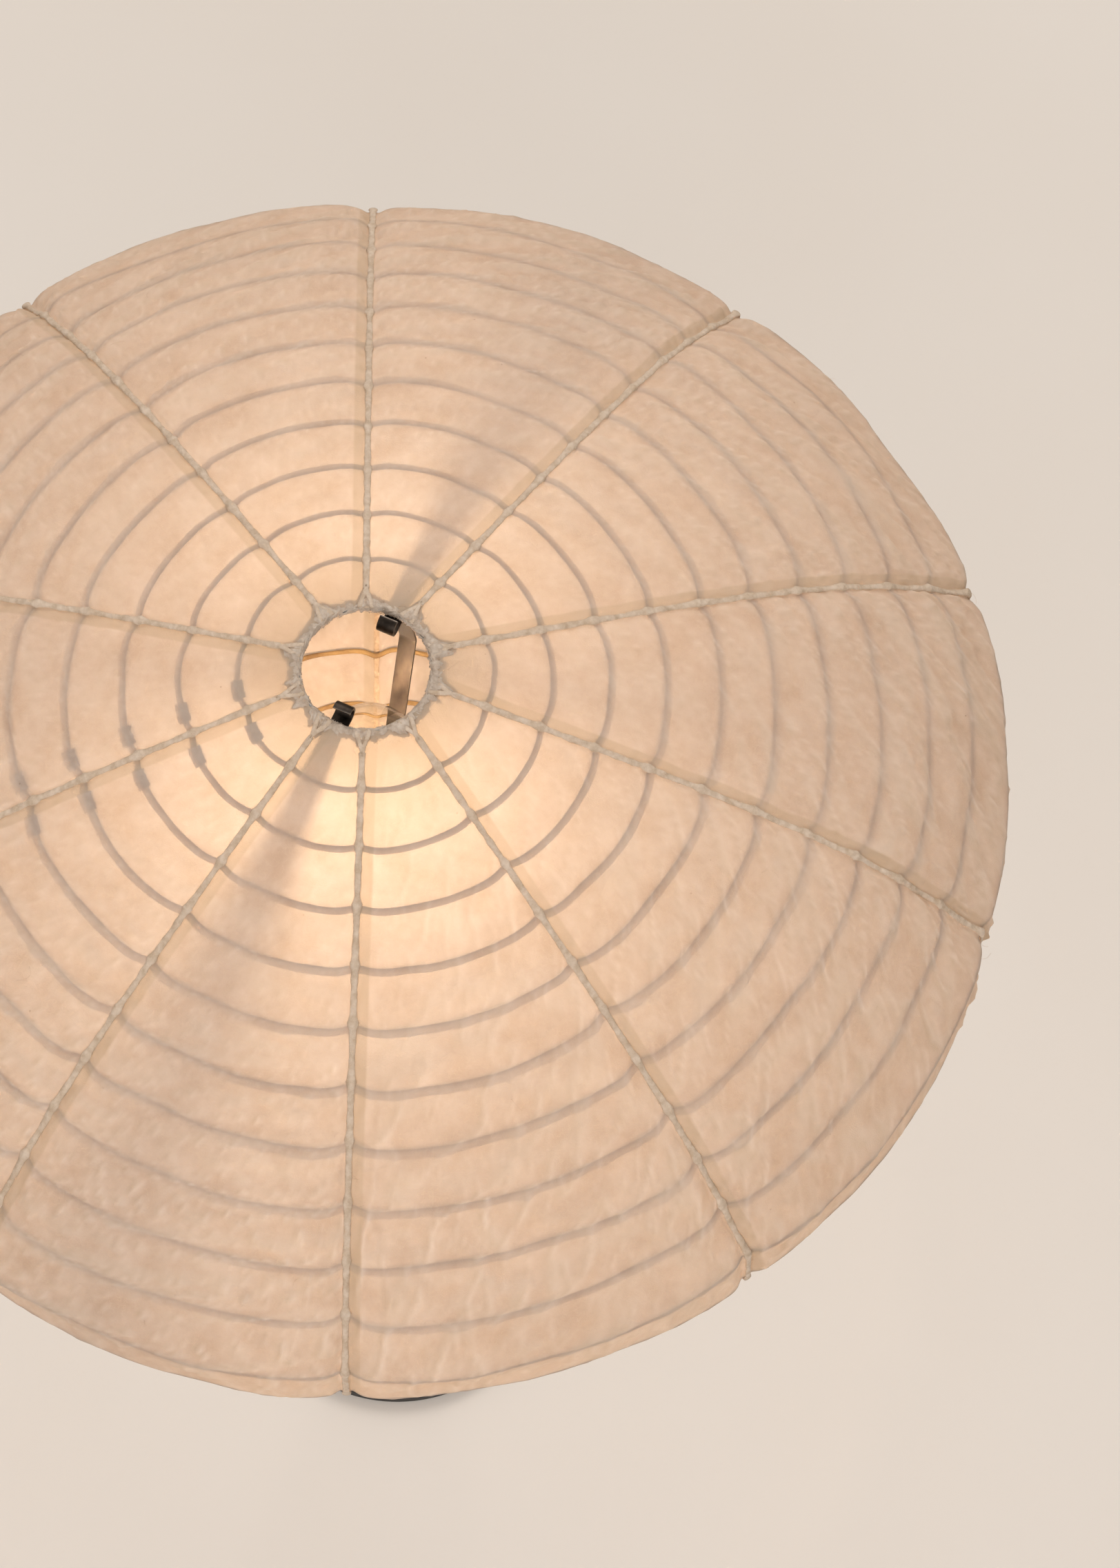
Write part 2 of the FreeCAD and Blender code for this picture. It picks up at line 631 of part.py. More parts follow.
upper_nut = hex_nut(
    "upper_nut", LOCK_NUT_CORNER, NIPPLE_WAY, f"{HOLDER_BOTTOM} + {{cup_floor}}", "{nut_height}"
)
lower_nut = hex_nut("lower_nut", LOCK_NUT_CORNER, NIPPLE_WAY, STEM_TOP, "{nut_height}")
nuts = doc.addObject("Part::Compound", "lock_nuts")
nuts.Links = [upper_nut, lower_nut]
subpart("lock_nuts", nuts)

# ---------------------------------------------------------------- stem, collar and base
STEM_LOW = "({felt_thickness} + {stem_setback})"
subpart("stem", tube("stem", STEM_RADIUS, NIPPLE_WAY, STEM_LOW, f"{STEM_TOP} - {STEM_LOW}"))
SPREADER_UNDERSIDE = (
    f"({{top_ring_height}} - {lower_drop(BOTTOM_INDEX)} - {{spreader_drop}} - {{strap_thickness}} / 2)"
)
COLLAR_LOW = f"({SPREADER_UNDERSIDE} - {{collar_height}})"
collar_tube = tube("collar_tube", COLLAR_RADIUS, STEM_WAY, COLLAR_LOW, "{collar_height}")
SCREW_LEVEL = f"{COLLAR_LOW} + {{collar_height}} / 2"


def toward_back(name, radius, length, start, level):
    """A round feature that lies along +Y from a start at a level."""
    made = bound("Part::Cylinder", name, Radius=radius, Height=length)
    made.setExpression("Placement.Base.y", cells(start))
    made.setExpression("Placement.Base.z", cells(level))
    made.Placement.Rotation = FreeCAD.Rotation(FreeCAD.Vector(1, 0, 0), -90)
    return made


screw_way = toward_back("screw_way", "{screw_radius}", COLLAR_RADIUS, "0", SCREW_LEVEL)
subpart("spreader_collar", cut("spreader_collar", collar_tube, screw_way))
screw = toward_back("collar_screw", "{screw_radius} - {running_fit}", "{collar_wall}", STEM_WAY, SCREW_LEVEL)
subpart("collar_screw", screw)

disc = cylinder("base_body", "{base_radius}", "{felt_thickness}", "{base_thickness}")
doc.recompute()
rounded_disc = doc.addObject("Part::Fillet", "rounded_base")
rounded_disc.Base = disc
top_edge = max(
    range(len(disc.Shape.Edges)), key=lambda place: disc.Shape.Edges[place].BoundBox.ZMin
)
rounded_disc.Edges = [(top_edge + 1, size("base_edge"), size("base_edge"))]
stem_bore = cylinder("stem_bore", STEM_WAY, "{felt_thickness}", "{base_thickness}")
recess = cylinder("recess", RECESS_RADIUS, "{felt_thickness}", "{recess_depth}")
CORD_LEVEL = "{felt_thickness} + {base_thickness} / 2"
lead_way = toward_back("lead_way", "{cord_bore} + {lead_room}", "{base_radius}", "0", CORD_LEVEL)
base_hollows = fuse("base_hollows", stem_bore, recess, lead_way)
subpart("base_disc", cut("base_disc", rounded_disc, base_hollows))
subpart(
    "base_felt",
    tube("base_felt", "{base_radius} - {felt_margin}", RECESS_RADIUS, "0", "{felt_thickness}"),
)
stem_nut = hex_nut(
    "stem_nut",
    STEM_NUT_CORNER,
    STEM_WAY,
    "{felt_thickness} + {recess_depth} - {stem_nut_height}",
    "{stem_nut_height}",
)
subpart("stem_nut", stem_nut)
GLAND_START = "{base_radius} + {shade_gap}"
GLAND_RADIUS = "{cord_bore} + {gland_wall}"
gland_body = toward_back("gland_body", GLAND_RADIUS, "{gland_length}", GLAND_START, CORD_LEVEL)
gland_bore = toward_back("gland_bore", "{cord_bore}", "{gland_length}", GLAND_START, CORD_LEVEL)
subpart("cord_gland", cut("cord_gland", gland_body, gland_bore))

# ---------------------------------------------------------------- checks and export
doc.recompute()
for made in doc.Objects:
    if "Invalid" in made.State or "Error" in made.State:
        raise RuntimeError(f"{made.Name} could not be built: {made.State}")
labels = [made.Label for made in pieces]
if len(set(labels)) != len(labels):
    raise RuntimeError("two sub-parts share a label")
for made in pieces:
    if made.Shape.isNull() or not made.Shape.isValid() or not made.Shape.Solids:
        raise RuntimeError(f"{made.Label} has no valid solid")

os.makedirs("parts", exist_ok=True)
for made in pieces:
    made.Shape.exportStep(os.path.join("parts", made.Label + ".step"))
print(len(pieces), "sub-parts")
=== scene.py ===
"""Paper lantern on a slim floor stand: its paper, bamboo, thread, steel, glass and moulded parts.

Lengths are in metres. +Z is up, and the origin is on the floor under the middle of the base.
An azimuth grows from the front (-Y) towards the right (+X).
"""

import logging
import math
from dataclasses import dataclass, field
from enum import Enum

import bmesh
import bpy
import numpy as np
from mathutils import Matrix, Vector

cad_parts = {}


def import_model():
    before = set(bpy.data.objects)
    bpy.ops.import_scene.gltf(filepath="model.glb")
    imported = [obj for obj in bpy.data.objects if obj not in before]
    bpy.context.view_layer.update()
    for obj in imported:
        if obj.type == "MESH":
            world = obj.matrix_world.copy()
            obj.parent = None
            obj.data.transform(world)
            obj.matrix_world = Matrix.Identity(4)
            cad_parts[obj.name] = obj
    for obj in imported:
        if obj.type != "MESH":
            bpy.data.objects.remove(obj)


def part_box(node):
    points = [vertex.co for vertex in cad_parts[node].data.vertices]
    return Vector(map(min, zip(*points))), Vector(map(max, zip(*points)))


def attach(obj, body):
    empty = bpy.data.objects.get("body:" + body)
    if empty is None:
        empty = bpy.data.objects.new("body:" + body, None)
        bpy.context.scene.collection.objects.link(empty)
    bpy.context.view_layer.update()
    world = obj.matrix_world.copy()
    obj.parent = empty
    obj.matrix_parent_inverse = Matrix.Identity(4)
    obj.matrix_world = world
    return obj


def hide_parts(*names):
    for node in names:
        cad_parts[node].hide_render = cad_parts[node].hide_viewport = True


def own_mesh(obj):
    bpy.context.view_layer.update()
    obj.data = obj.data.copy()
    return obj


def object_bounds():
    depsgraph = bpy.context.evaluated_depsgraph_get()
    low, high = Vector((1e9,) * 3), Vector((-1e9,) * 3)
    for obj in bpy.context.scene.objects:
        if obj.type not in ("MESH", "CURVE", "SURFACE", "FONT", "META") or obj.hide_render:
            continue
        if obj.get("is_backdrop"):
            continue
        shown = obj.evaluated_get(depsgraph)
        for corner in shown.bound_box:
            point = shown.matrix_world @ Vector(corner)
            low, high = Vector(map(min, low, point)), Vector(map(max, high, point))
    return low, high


MM = 0.001
TURN = 2 * math.pi
WELD = 1e-7
LOG = logging.getLogger("paper_lantern")

Grid = np.ndarray
Node = bpy.types.Node
Socket = bpy.types.NodeSocket
Tree = bpy.types.NodeTree


class Arm(Enum):
    """The two straps that carry the shade, with their turn from the front one."""

    FRONT = 0.0
    BACK = 180.0


# ------------------------------------------------------------------ shapes


def smooth(share: Grid) -> Grid:
    """Eases 0 to 1 with level ends: three squares less two cubes of the share."""
    share = np.clip(share, 0.0, 1.0)
    return share * share * (3 - 2 * share)


def bell(distance: Grid, reach: float) -> Grid:
    """From 1 at nought down to nothing: e to the minus square of the distance over the reach."""
    return np.exp(-((distance / reach) ** 2))


def unit(ways: Grid) -> Grid:
    """Ways along the last axis, cut to a length of one."""
    return ways / np.linalg.norm(ways, axis=-1, keepdims=True)


def circle(count: int) -> Grid:
    """Even angles once round, without the last."""
    return np.linspace(0, TURN, count, endpoint=False)


def about_axis(radius: Grid, azimuth: Grid, height: Grid) -> Grid:
    """Points at a radius and a height, turned from the front to the right by an azimuth in degrees."""
    turn = np.radians(azimuth)
    return np.stack([radius * np.sin(turn), -radius * np.cos(turn), height], axis=-1)


@dataclass
class Grain:
    """Smooth random heights from -1 to 1 on a plane that repeats after a number of cells.

    Every cell corner holds a seeded random value, and the values between are eased from corner to corner.
    """

    seed: int
    cells: int = 64
    lattice: Grid = field(init=False, repr=False)

    def __post_init__(self) -> None:
        """Draws the corner values."""
        self.lattice = np.random.default_rng(self.seed).uniform(-1, 1, (self.cells, self.cells))

    def at(self, x: Grid, y: Grid) -> Grid:
        """The height at places given in cells.

        Args:
            x: places along the first way.
            y: places along the second way, of the same shape.

        Returns:
            The heights, of the same shape.
        """
        column, row = np.floor(x).astype(int), np.floor(y).astype(int)
        across, along = smooth(x - column), smooth(y - row)
        low, high = column % self.cells, (column + 1) % self.cells
        near, far = (
            self.lattice[low, line] * (1 - across) + self.lattice[high, line] * across
            for line in (row % self.cells, (row + 1) % self.cells)
        )
        return near * (1 - along) + far * along

    def layered(self, x: Grid, y: Grid, layers: int = 3) -> Grid:
        """Layers of the same grain, each twice as fine and half as high as the one before."""
        total = np.zeros(np.broadcast(x, y).shape)
        for layer in range(layers):
            total = total + self.at(x * 2**layer + 17 * layer, y * 2**layer + 5 * layer) / 2**layer
        return total

    def creased(self, x: Grid, y: Grid) -> Grid:
        """Sharp crests from 0 to 1 where two layers of the grain pass through nought."""
        return np.clip(1 - 2.2 * np.abs(self.layered(x, y, 2)), 0, 1) ** 2


@dataclass
class Patch:
    """A grid of points that becomes one stretch of a piece's surface.

    Attributes:
        points: rows by columns by 3.
        closed_rows: whether the last row joins the first.
        closed_columns: whether the last column joins the first.
        flip: whether the faces turn the other way.
        material: which of the piece's materials it wears.
        marks: named values, one for each point.
    """

    points: Grid
    closed_rows: bool = False
    closed_columns: bool = False
    flip: bool = False
    material: int = 0
    marks: dict[str, Grid] = field(default_factory=dict)

    def faces(self) -> Grid:
        """The corner numbers of its four-sided faces."""
        rows, columns = self.points.shape[:2]
        row = np.arange(rows if self.closed_rows else rows - 1)
        column = np.arange(columns if self.closed_columns else columns - 1)
        low_row, low_column = (side.ravel() for side in np.meshgrid(row, column, indexing="ij"))
        high_row, high_column = (low_row + 1) % rows, (low_column + 1) % columns
        ways = ((low_row, low_column), (low_row, high_column), (high_row, high_column), (high_row, low_column))
        corners = [line * columns + place for line, place in ways]
        return np.stack(corners[::-1] if self.flip else corners, axis=1)


def rounded_route(points: Grid, radii: list[float], steps: int = 10) -> Grid:
    """A route of straight runs with an arc at each inner point.

    Each arc touches its two runs, so it starts before the corner by its radius over the tangent of half the
    angle between them.

    Args:
        points: the corners, each of 2 or 3 numbers.
        radii: one for each inner corner.
        steps: points along each arc.

    Returns:
        The route's points in order.
    """
    corners = np.asarray(points, float)
    route = [corners[:1]]
    for before, corner, after, radius in zip(corners, corners[1:], corners[2:], radii):
        back, ahead = unit(before - corner), unit(after - corner)
        half = math.acos(float(np.clip(back @ ahead, -1, 1))) / 2
        if radius <= 0 or half > math.pi / 2 - 1e-4:
            route.append(corner[None])
            continue
        middle = corner + unit(back + ahead) * radius / math.sin(half)
        start = corner + back * radius / math.tan(half) - middle
        end = corner + ahead * radius / math.tan(half) - middle
        sweep_angle = math.pi - 2 * half
        share = np.linspace(0, 1, steps)[:, None]
        arc = np.sin((1 - share) * sweep_angle) * start + np.sin(share * sweep_angle) * end
        route.append(middle + arc / math.sin(sweep_angle))
    route.append(corners[-1:])
    return np.concatenate(route)


def lathe(
    outline: Grid, sides: int = 96, wave: Grid | float = 0.0, closed: bool = True, material: int = 0
) -> Patch:
    """Turns an outline of radius and height about the Z axis.

    Args:
        outline: points of (radius, height), going round the section with the solid on the left.
        sides: columns round the axis.
        wave: added to the radius, as rows by columns.
        closed: whether the outline's end joins its start.
        material: which material it wears.

    Returns:
        The patch.
    """
    angle = circle(sides)
    radius = np.broadcast_to(outline[:, :1], (len(outline), sides)) + wave
    height = np.broadcast_to(outline[:, 1:2], radius.shape)
    points = np.stack([radius * np.cos(angle), radius * np.sin(angle), height], axis=-1)
    return Patch(points, closed_rows=closed, closed_columns=True, material=material)


def sweep(route: Grid, section: Grid, side: Grid, scale: Grid | None = None, material: int = 0) -> Patch:
    """Carries a section along a route, with both ends closed.

    At each point the section's first way lies along side, and its second along the cross product of the
    route's direction and side.

    Args:
        route: the centre line, n by 3.
        section: the closed outline, m by 2.
        side: the first way.
        scale: the section's size at each point, n.
        material: which material it wears.

    Returns:
        The patch.
    """
    direction = unit(np.gradient(route, axis=0))
    first = np.broadcast_to(np.asarray(side, float), route.shape)
    first = unit(first - (first * direction).sum(1, keepdims=True) * direction)
    second = np.cross(direction, first)
    size = np.ones(len(route)) if scale is None else scale
    spread = section[None] * size[:, None, None]
    rows = route[:, None] + spread[..., :1] * first[:, None] + spread[..., 1:2] * second[:, None]
    start, end = (np.broadcast_to(route[at, None], (1, *rows.shape[1:])) for at in (slice(1), slice(-1, None)))
    return Patch(np.concatenate([start, rows, end]), closed_columns=True, material=material)


def round_section(radius: float, points: int = 10, flatness: float = 1.0) -> Grid:
    """A circle, or an oval whose second way is a share of the first."""
    angle = circle(points)
    return radius * np.stack([np.cos(angle), flatness * np.sin(angle)], axis=1)


def strip_section(width: float, thickness: float, edge: float) -> Grid:
    """A flat strip's outline with rounded edges."""
    across, up = width / 2, thickness / 2
    corners = np.array([(0, up), (across, up), (across, -up), (-across, -up), (-across, up), (0, up)])
    return rounded_route(corners, [edge] * 4, steps=4)[:-1]


def turned_about(points: Grid, azimuth: float) -> Grid:
    """Turns points of the XZ plane so that its +X side faces an azimuth."""
    return points @ np.array(Matrix.Rotation(math.radians(azimuth - 90), 3, "Z")).T


def lying(points: Grid, centre: Grid) -> Grid:
    """Tips an upright turned shape over so that its axis points to the back, with its foot at a centre."""
    return np.stack([points[..., 0], points[..., 2], -points[..., 1]], axis=-1) + centre


def rounded_outline(corners: list[tuple[float, float]], edge: float | list[float], steps: int = 5) -> Grid:
    """A closed outline with rounded corners, from the middle of its last side round to it."""
    points = np.array(corners, float)
    start = (points[:1] + points[-1:]) / 2
    radii = edge if isinstance(edge, list) else [edge] * len(points)
    return rounded_route(np.concatenate([start, points, start]), radii, steps)[:-1]


def tube_outline(outer: float, inner: float, low: float, high: float, edge: float) -> Grid:
    """The section of an upright tube with rounded edges."""
    return rounded_outline([(inner, high), (inner, low), (outer, low), (outer, high)], edge)


def threaded_tube(outer: float, inner: float, low: float, high: float, depth: float, pitch: float) -> Patch:
    """A thin tube rolled into a screw thread.

    Both walls move in and out together by a sine of the height over the pitch less the turn, which eases to
    nothing at the two ends.
    """
    rows, sides = int((high - low) / pitch * 14), 72
    level = np.linspace(low, high, rows)
    walls = ((outer, level), (inner, level[::-1]))
    outline = np.concatenate([np.stack([np.full(rows, wall), rise], 1) for wall, rise in walls])
    ease = smooth((outline[:, 1] - low) / pitch) * smooth((high - outline[:, 1]) / pitch)
    return lathe(outline, sides, depth * ease[:, None] * np.sin(TURN * outline[:, 1:2] / pitch - circle(sides)))


def hex_nut(flats: float, bore: float, low: float, high: float) -> Patch:
    """A hexagon nut with turned corners.

    Its side is the flats' half width over the cosine of the angle from the nearest flat's middle, held
    within a cone near each face.
    """
    angle = circle(96)
    sixth = math.pi / 3
    reach = flats / 2 / np.cos((angle + sixth / 2) % sixth - sixth / 2)
    level = np.linspace(low, high, 9)
    cone_start, cone_slope = 0.97, 1.7
    cone = flats / 2 * cone_start + np.minimum(level - low, high - level) * cone_slope
    radius = np.concatenate([np.minimum(reach[None], cone[:, None]), np.full((2, len(angle)), bore)])
    height = np.concatenate([level, [high, low]])[:, None] + np.zeros(len(angle))
    points = np.stack([radius * np.cos(angle), radius * np.sin(angle), height], axis=-1)
    return Patch(points, closed_rows=True, closed_columns=True)


# ------------------------------------------------------------------ finishes


def linear(code: str) -> tuple[float, float, float, float]:
    """Turns an sRGB hex colour into linear red, green, blue and an alpha of 1."""
    shares = [int(code[place : place + 2], 16) / 255 for place in (1, 3, 5)]
    red, green, blue = (s / 12.92 if s <= 0.04045 else ((s + 0.055) / 1.055) ** 2.4 for s in shares)
    return red, green, blue, 1.0


def add_node(tree: Tree, kind: str, settings: dict | None = None, links: dict | None = None) -> Node:
    """Adds a node with its settings and links.

    Args:
        tree: where it goes.
        kind: the node's type, without the shader prefix.
        settings: input values or properties by name, and "stops" for a ramp: (place, hex) pairs.
        links: the outputs that its inputs take, where a node stands for its first output.

    Returns:
        The new node.
    """
    made = tree.nodes.new(f"ShaderNode{kind}")
    for name, value in (settings or {}).items():
        if isinstance(value, str) and value.startswith("#"):
            value = linear(value)
        if name == "stops":
            for element, (place, colour) in zip(made.color_ramp.elements, value):
                element.position, element.color = place, linear(colour)
        elif isinstance(name, int) or name in made.inputs:
            made.inputs[name].default_value = value
        else:
            setattr(made, name, value)
    for name, output in (links or {}).items():
        tree.links.new(output.outputs[0] if isinstance(output, Node) else output, made.inputs[name])
    return made


def per_mm(size: float) -> float:
    """The scale at which a pattern on metres repeats about every so many millimetres."""
    return 1 / (size * MM)


@dataclass(frozen=True)
class Finish:
    """A material by the name of what it is made of."""

    name: str

    def shader(self, tree: Tree, place: Socket) -> Node:
        """Builds the finish's nodes on Object coordinates and returns the shader."""
        raise NotImplementedError

    def material(self) -> bpy.types.Material:
        """The finish as a material, made once and then shared."""
        found = bpy.data.materials.get(self.name)
        if found:
            return found
        made = bpy.data.materials.new(self.name)
        made.use_nodes = True
        tree = made.node_tree
        tree.nodes.clear()
        place = add_node(tree, "TexCoord").outputs["Object"]
        add_node(tree, "OutputMaterial", {}, {"Surface": self.shader(tree, place)})
        return made


@dataclass(frozen=True)
class KozoPaper(Finish):
    """Mulberry paper, hand laid and sized with starch.

    To the eye it is cloudy and warm, with long silky fibres and a few flecks of bark. Its folds carry a
    painted highlight on their crests and painted shade on the slopes beside them, its laps are darker, and
    lamplight comes through it. The fibres are drawn wider than real ones, which are too fine to show.
    """

    name: str = "kozo_paper"
    thick_hex: str = "#D7C0AF"
    thin_hex: str = "#E2CFC1"
    dim_hex: str = "#EAD8BF"
    glow_hex: str = "#FCF1E2"
    # Lamplight colour of laps and doubled paper, and of the painted shade beside each fold's crest.
    lapped_and_painted_shade_glow_hex: str = "#D9C4A8"
    # Daylight colour of laps and doubled paper, and of the painted shade beside each fold's crest.
    lap_and_painted_shade_hex: str = "#D5C4AE"
    fibre_hex: str = "#F0E2CF"
    bark_hex: str = "#8A5A33"
    # A painted highlight on the crest of each fold.
    painted_highlight_hex: str = "#FFF4EA"
    passing: float = 0.42
    fibre_share: float = 0.7
    cloud_mm: float = 24
    fibre_mm: float = 9
    grain_mm: float = 0.9
    fleck_mm: float = 26
    wrinkle_mm: float = 22

    def fibres(self, tree: Tree, place: Socket, size: float, width: float) -> Node:
        """Long curling lines, where a soft noise passes through its middle value."""
        noise = add_node(tree, "TexNoise", {"Scale": per_mm(size), "Detail": 1.5}, {"Vector": place})
        away = add_node(tree, "Math", {"operation": "SUBTRACT", 1: 0.5}, {0: noise})
        side = add_node(tree, "Math", {"operation": "ABSOLUTE"}, {0: away})
        fading = {"From Min": 0.0, "From Max": width, "To Min": 1.0, "To Max": 0.0}
        return add_node(tree, "MapRange", fading, {"Value": side})

    def noise(self, tree: Tree, place: Socket, size: float, detail: float, roughness: float = 0.5) -> Node:
        """A noise whose patches are a size in millimetres across."""
        settings = {"Scale": per_mm(size), "Detail": detail, "Roughness": roughness}
        return add_node(tree, "TexNoise", settings, {"Vector": place})

    def shader(self, tree: Tree, place: Socket) -> Node:
        """One lobe that reflects daylight and one that lets lamplight through, each in its own colours.

        Each lobe starts from the clouds' two colours, and its layers are then laid over it in order.
        """
        cloud = self.noise(tree, place, self.cloud_mm, 5.0, 0.62)
        long_fibre = self.fibres(tree, place, self.fibre_mm, 0.016)
        short_fibre = self.fibres(tree, place, self.fibre_mm / 3, 0.03)
        patchy = self.noise(tree, place, self.fibre_mm * 2.2, 2.0)
        both = add_node(tree, "Math", {"operation": "MAXIMUM"}, {0: long_fibre, 1: short_fibre})
        shown = add_node(tree, "Math", {"operation": "MULTIPLY"}, {0: both, 1: patchy})
        fibred = add_node(tree, "Math", {"operation": "MULTIPLY", 1: self.fibre_share}, {0: shown})
        fleck, facets = (
            add_node(tree, "TexVoronoi", {"Scale": per_mm(size), "Randomness": 1.0}, {"Vector": place})
            for size in (self.fleck_mm, self.wrinkle_mm)
        )
        fading = {"From Min": 0.012, "From Max": 0.03, "To Min": 0.7, "To Max": 0.0}
        speck = add_node(tree, "MapRange", fading, {"Value": fleck})
        # Two marks from the mesh: a painted highlight on each fold's crest, and the laps and doubled paper together
        # with a painted shade beside each crest.
        crest, seam = (
            add_node(tree, "Attribute", {"attribute_name": mark}).outputs["Fac"] for mark in ("crest", "seam")
        )
        # Daylight takes a painted highlight on the crests, and the laps with a painted shade beside each crest;
        # lamplight takes the laps and that painted shade.
        daylight = ((fibred, self.fibre_hex), (speck, self.bark_hex), (crest, self.painted_highlight_hex), (seam, self.lap_and_painted_shade_hex))
        lamplight = ((fibred, self.dim_hex), (seam, self.lapped_and_painted_shade_glow_hex))
        colours = []
        for stops, layers in (
            (((0.34, self.thick_hex), (0.66, self.thin_hex)), daylight),
            (((0.3, self.dim_hex), (0.68, self.glow_hex)), lamplight),
        ):
            colour = add_node(tree, "ValToRGB", {"stops": stops}, {"Fac": cloud}).outputs[0]
            for share, code in layers:
                over = add_node(tree, "Mix", {"data_type": "RGBA", 7: code}, {0: share, 6: colour})
                colour = over.outputs[2]
            colours.append(colour)
        grain = self.noise(tree, place, self.grain_mm, 3.0)
        relief = add_node(tree, "Math", {"operation": "ADD"}, {0: shown, 1: grain})
        fine = add_node(tree, "Bump", {"Strength": 0.4, "Distance": 0.25 * MM}, {"Height": relief})
        creased = {"Strength": 0.7, "Distance": 1.6 * MM}
        bump = add_node(tree, "Bump", creased, {"Height": facets, "Normal": fine})
        starched = {"Roughness": 0.58, "IOR": 1.46, "Specular IOR Level": 0.4}
        starched |= {"Sheen Weight": 0.12, "Sheen Roughness": 0.4}
        sheet = add_node(tree, "BsdfPrincipled", starched, {"Base Color": colours[0], "Normal": bump})
        through = add_node(tree, "BsdfTranslucent", {}, {"Color": colours[1], "Normal": bump})
        return add_node(tree, "MixShader", {0: self.passing}, {1: sheet, 2: through})


@dataclass(frozen=True)
class Mottled(Finish):
    """A solid finish of two near colours in a noise, with a fine relief.

    Attributes:
        low_hex: its darker colour.
        high_hex: its lighter colour.
        patch_mm: how far its colour holds.
        grain_mm: how far its relief holds.
        relief: the relief's strength.
        depth_mm: the relief's depth.
        stretch: how its patterns are drawn out.
        worn_hex: the colour of its rubbed edges, or nothing.
    """

    low_hex: str = "#000000"
    high_hex: str = "#000000"
    roughness: float = 0.5
    metallic: float = 0.0
    patch_mm: float = 20
    grain_mm: float = 1
    relief: float = 0.1
    depth_mm: float = 0.2
    stretch: tuple[float, float, float] = (1, 1, 1)
    sheen: float = 0.0
    coat: float = 0.0
    worn_hex: str = ""

    def shader(self, tree: Tree, place: Socket) -> Node:
        """Two colours, a roughness that follows them, and grain."""
        place = add_node(tree, "Mapping", {"Scale": self.stretch}, {"Vector": place})
        patch, grain = (
            add_node(tree, "TexNoise", {"Scale": per_mm(size), "Detail": detail}, {"Vector": place})
            for size, detail in ((self.patch_mm, 5.0), (self.grain_mm, 3.0))
        )
        stops = {"stops": ((0.35, self.low_hex), (0.68, self.high_hex))}
        colour = add_node(tree, "ValToRGB", stops, {"Fac": patch}).outputs[0]
        depth = {"Strength": self.relief, "Distance": self.depth_mm * MM}
        bump = add_node(tree, "Bump", depth, {"Height": grain})
        if self.worn_hex:
            edges = add_node(tree, "NewGeometry").outputs["Pointiness"]
            worn = add_node(tree, "MapRange", {"From Min": 0.53, "From Max": 0.6}, {"Value": edges})
            rubbed = add_node(tree, "Mix", {"data_type": "RGBA", 7: self.worn_hex}, {0: worn, 6: colour})
            colour = rubbed.outputs[2]
        span = {"To Min": max(self.roughness - 0.1, 0.02), "To Max": min(self.roughness + 0.1, 1.0)}
        rough = add_node(tree, "MapRange", span, {"Value": patch})
        settings = {"Metallic": self.metallic, "Sheen Weight": self.sheen, "Coat Weight": self.coat}
        links = {"Base Color": colour, "Roughness": rough, "Normal": bump}
        return add_node(tree, "BsdfPrincipled", settings, links)


@dataclass(frozen=True)
class ClearGlass(Finish):
    """Blown soda-lime glass: to the eye a clear shell with sharp glints and the faintest ripple."""

    name: str = "blown_glass"
    tint_hex: str = "#FFFDF8"

    def shader(self, tree: Tree, place: Socket) -> Node:
        """A clear shell that bends and reflects light."""
        ripple = add_node(tree, "TexNoise", {"Scale": per_mm(14), "Detail": 1.0}, {"Vector": place})
        bump = add_node(tree, "Bump", {"Strength": 0.06, "Distance": 0.3 * MM}, {"Height": ripple})
        clear = {"Base Color": self.tint_hex, "Roughness": 0.01, "IOR": 1.5, "Transmission Weight": 1.0}
        return add_node(tree, "BsdfPrincipled", clear, {"Normal": bump})


@dataclass(frozen=True)
class HotFilament(Finish):
    """Carbon filament at working heat: to the eye a warm glow, a little uneven along the coil."""

    name: str = "glowing_filament"
    glow_hex: str = "#FFC27A"
    hot_hex: str = "#FFE0B0"
    strength: float = 30.0

    def shader(self, tree: Tree, place: Socket) -> Node:
        """A plain glow in two near colours."""
        uneven = add_node(tree, "TexNoise", {"Scale": per_mm(3), "Detail": 2.0}, {"Vector": place})
        stops = {"stops": ((0.3, self.glow_hex), (0.7, self.hot_hex))}
        colour = add_node(tree, "ValToRGB", stops, {"Fac": uneven})
        return add_node(tree, "Emission", {"Strength": self.strength}, {"Color": colour})


PAPER = KozoPaper()
# Torn strips of the same paper in several layers: denser, more cloudy, and hardly lit from inside.
WRAP = KozoPaper(
    "torn_paper_binding", thick_hex="#C6B3A0", thin_hex="#E6DACC", dim_hex="#D2BC98", glow_hex="#F8E8CC",
    passing=0.22, cloud_mm=6, fibre_mm=4, grain_mm=0.7, wrinkle_mm=5,
)
# Spun cotton under paste: dull and even, a little yellower than the paper.
THREAD = KozoPaper(
    "cotton_thread_under_paste", thick_hex="#CCB69C", thin_hex="#E8D7C4", dim_hex="#D8BE8C",
    glow_hex="#F6DFAE", passing=0.14, cloud_mm=5, fibre_mm=3, grain_mm=0.6, wrinkle_mm=4,
)
# Split and scraped bamboo: straw brown, silky, with a coarse grain.
BAMBOO = Mottled(
    "split_bamboo", "#8F7350", "#B79A6C", 0.55, patch_mm=12, grain_mm=1.2, relief=0.3, depth_mm=0.1
)
# Dark paper wound round a splice: matt and rough.
SLEEVE = Mottled("dark_paper_wrap", "#5C4A3C", "#7A6552", 0.85, patch_mm=3, grain_mm=0.6, relief=0.5)
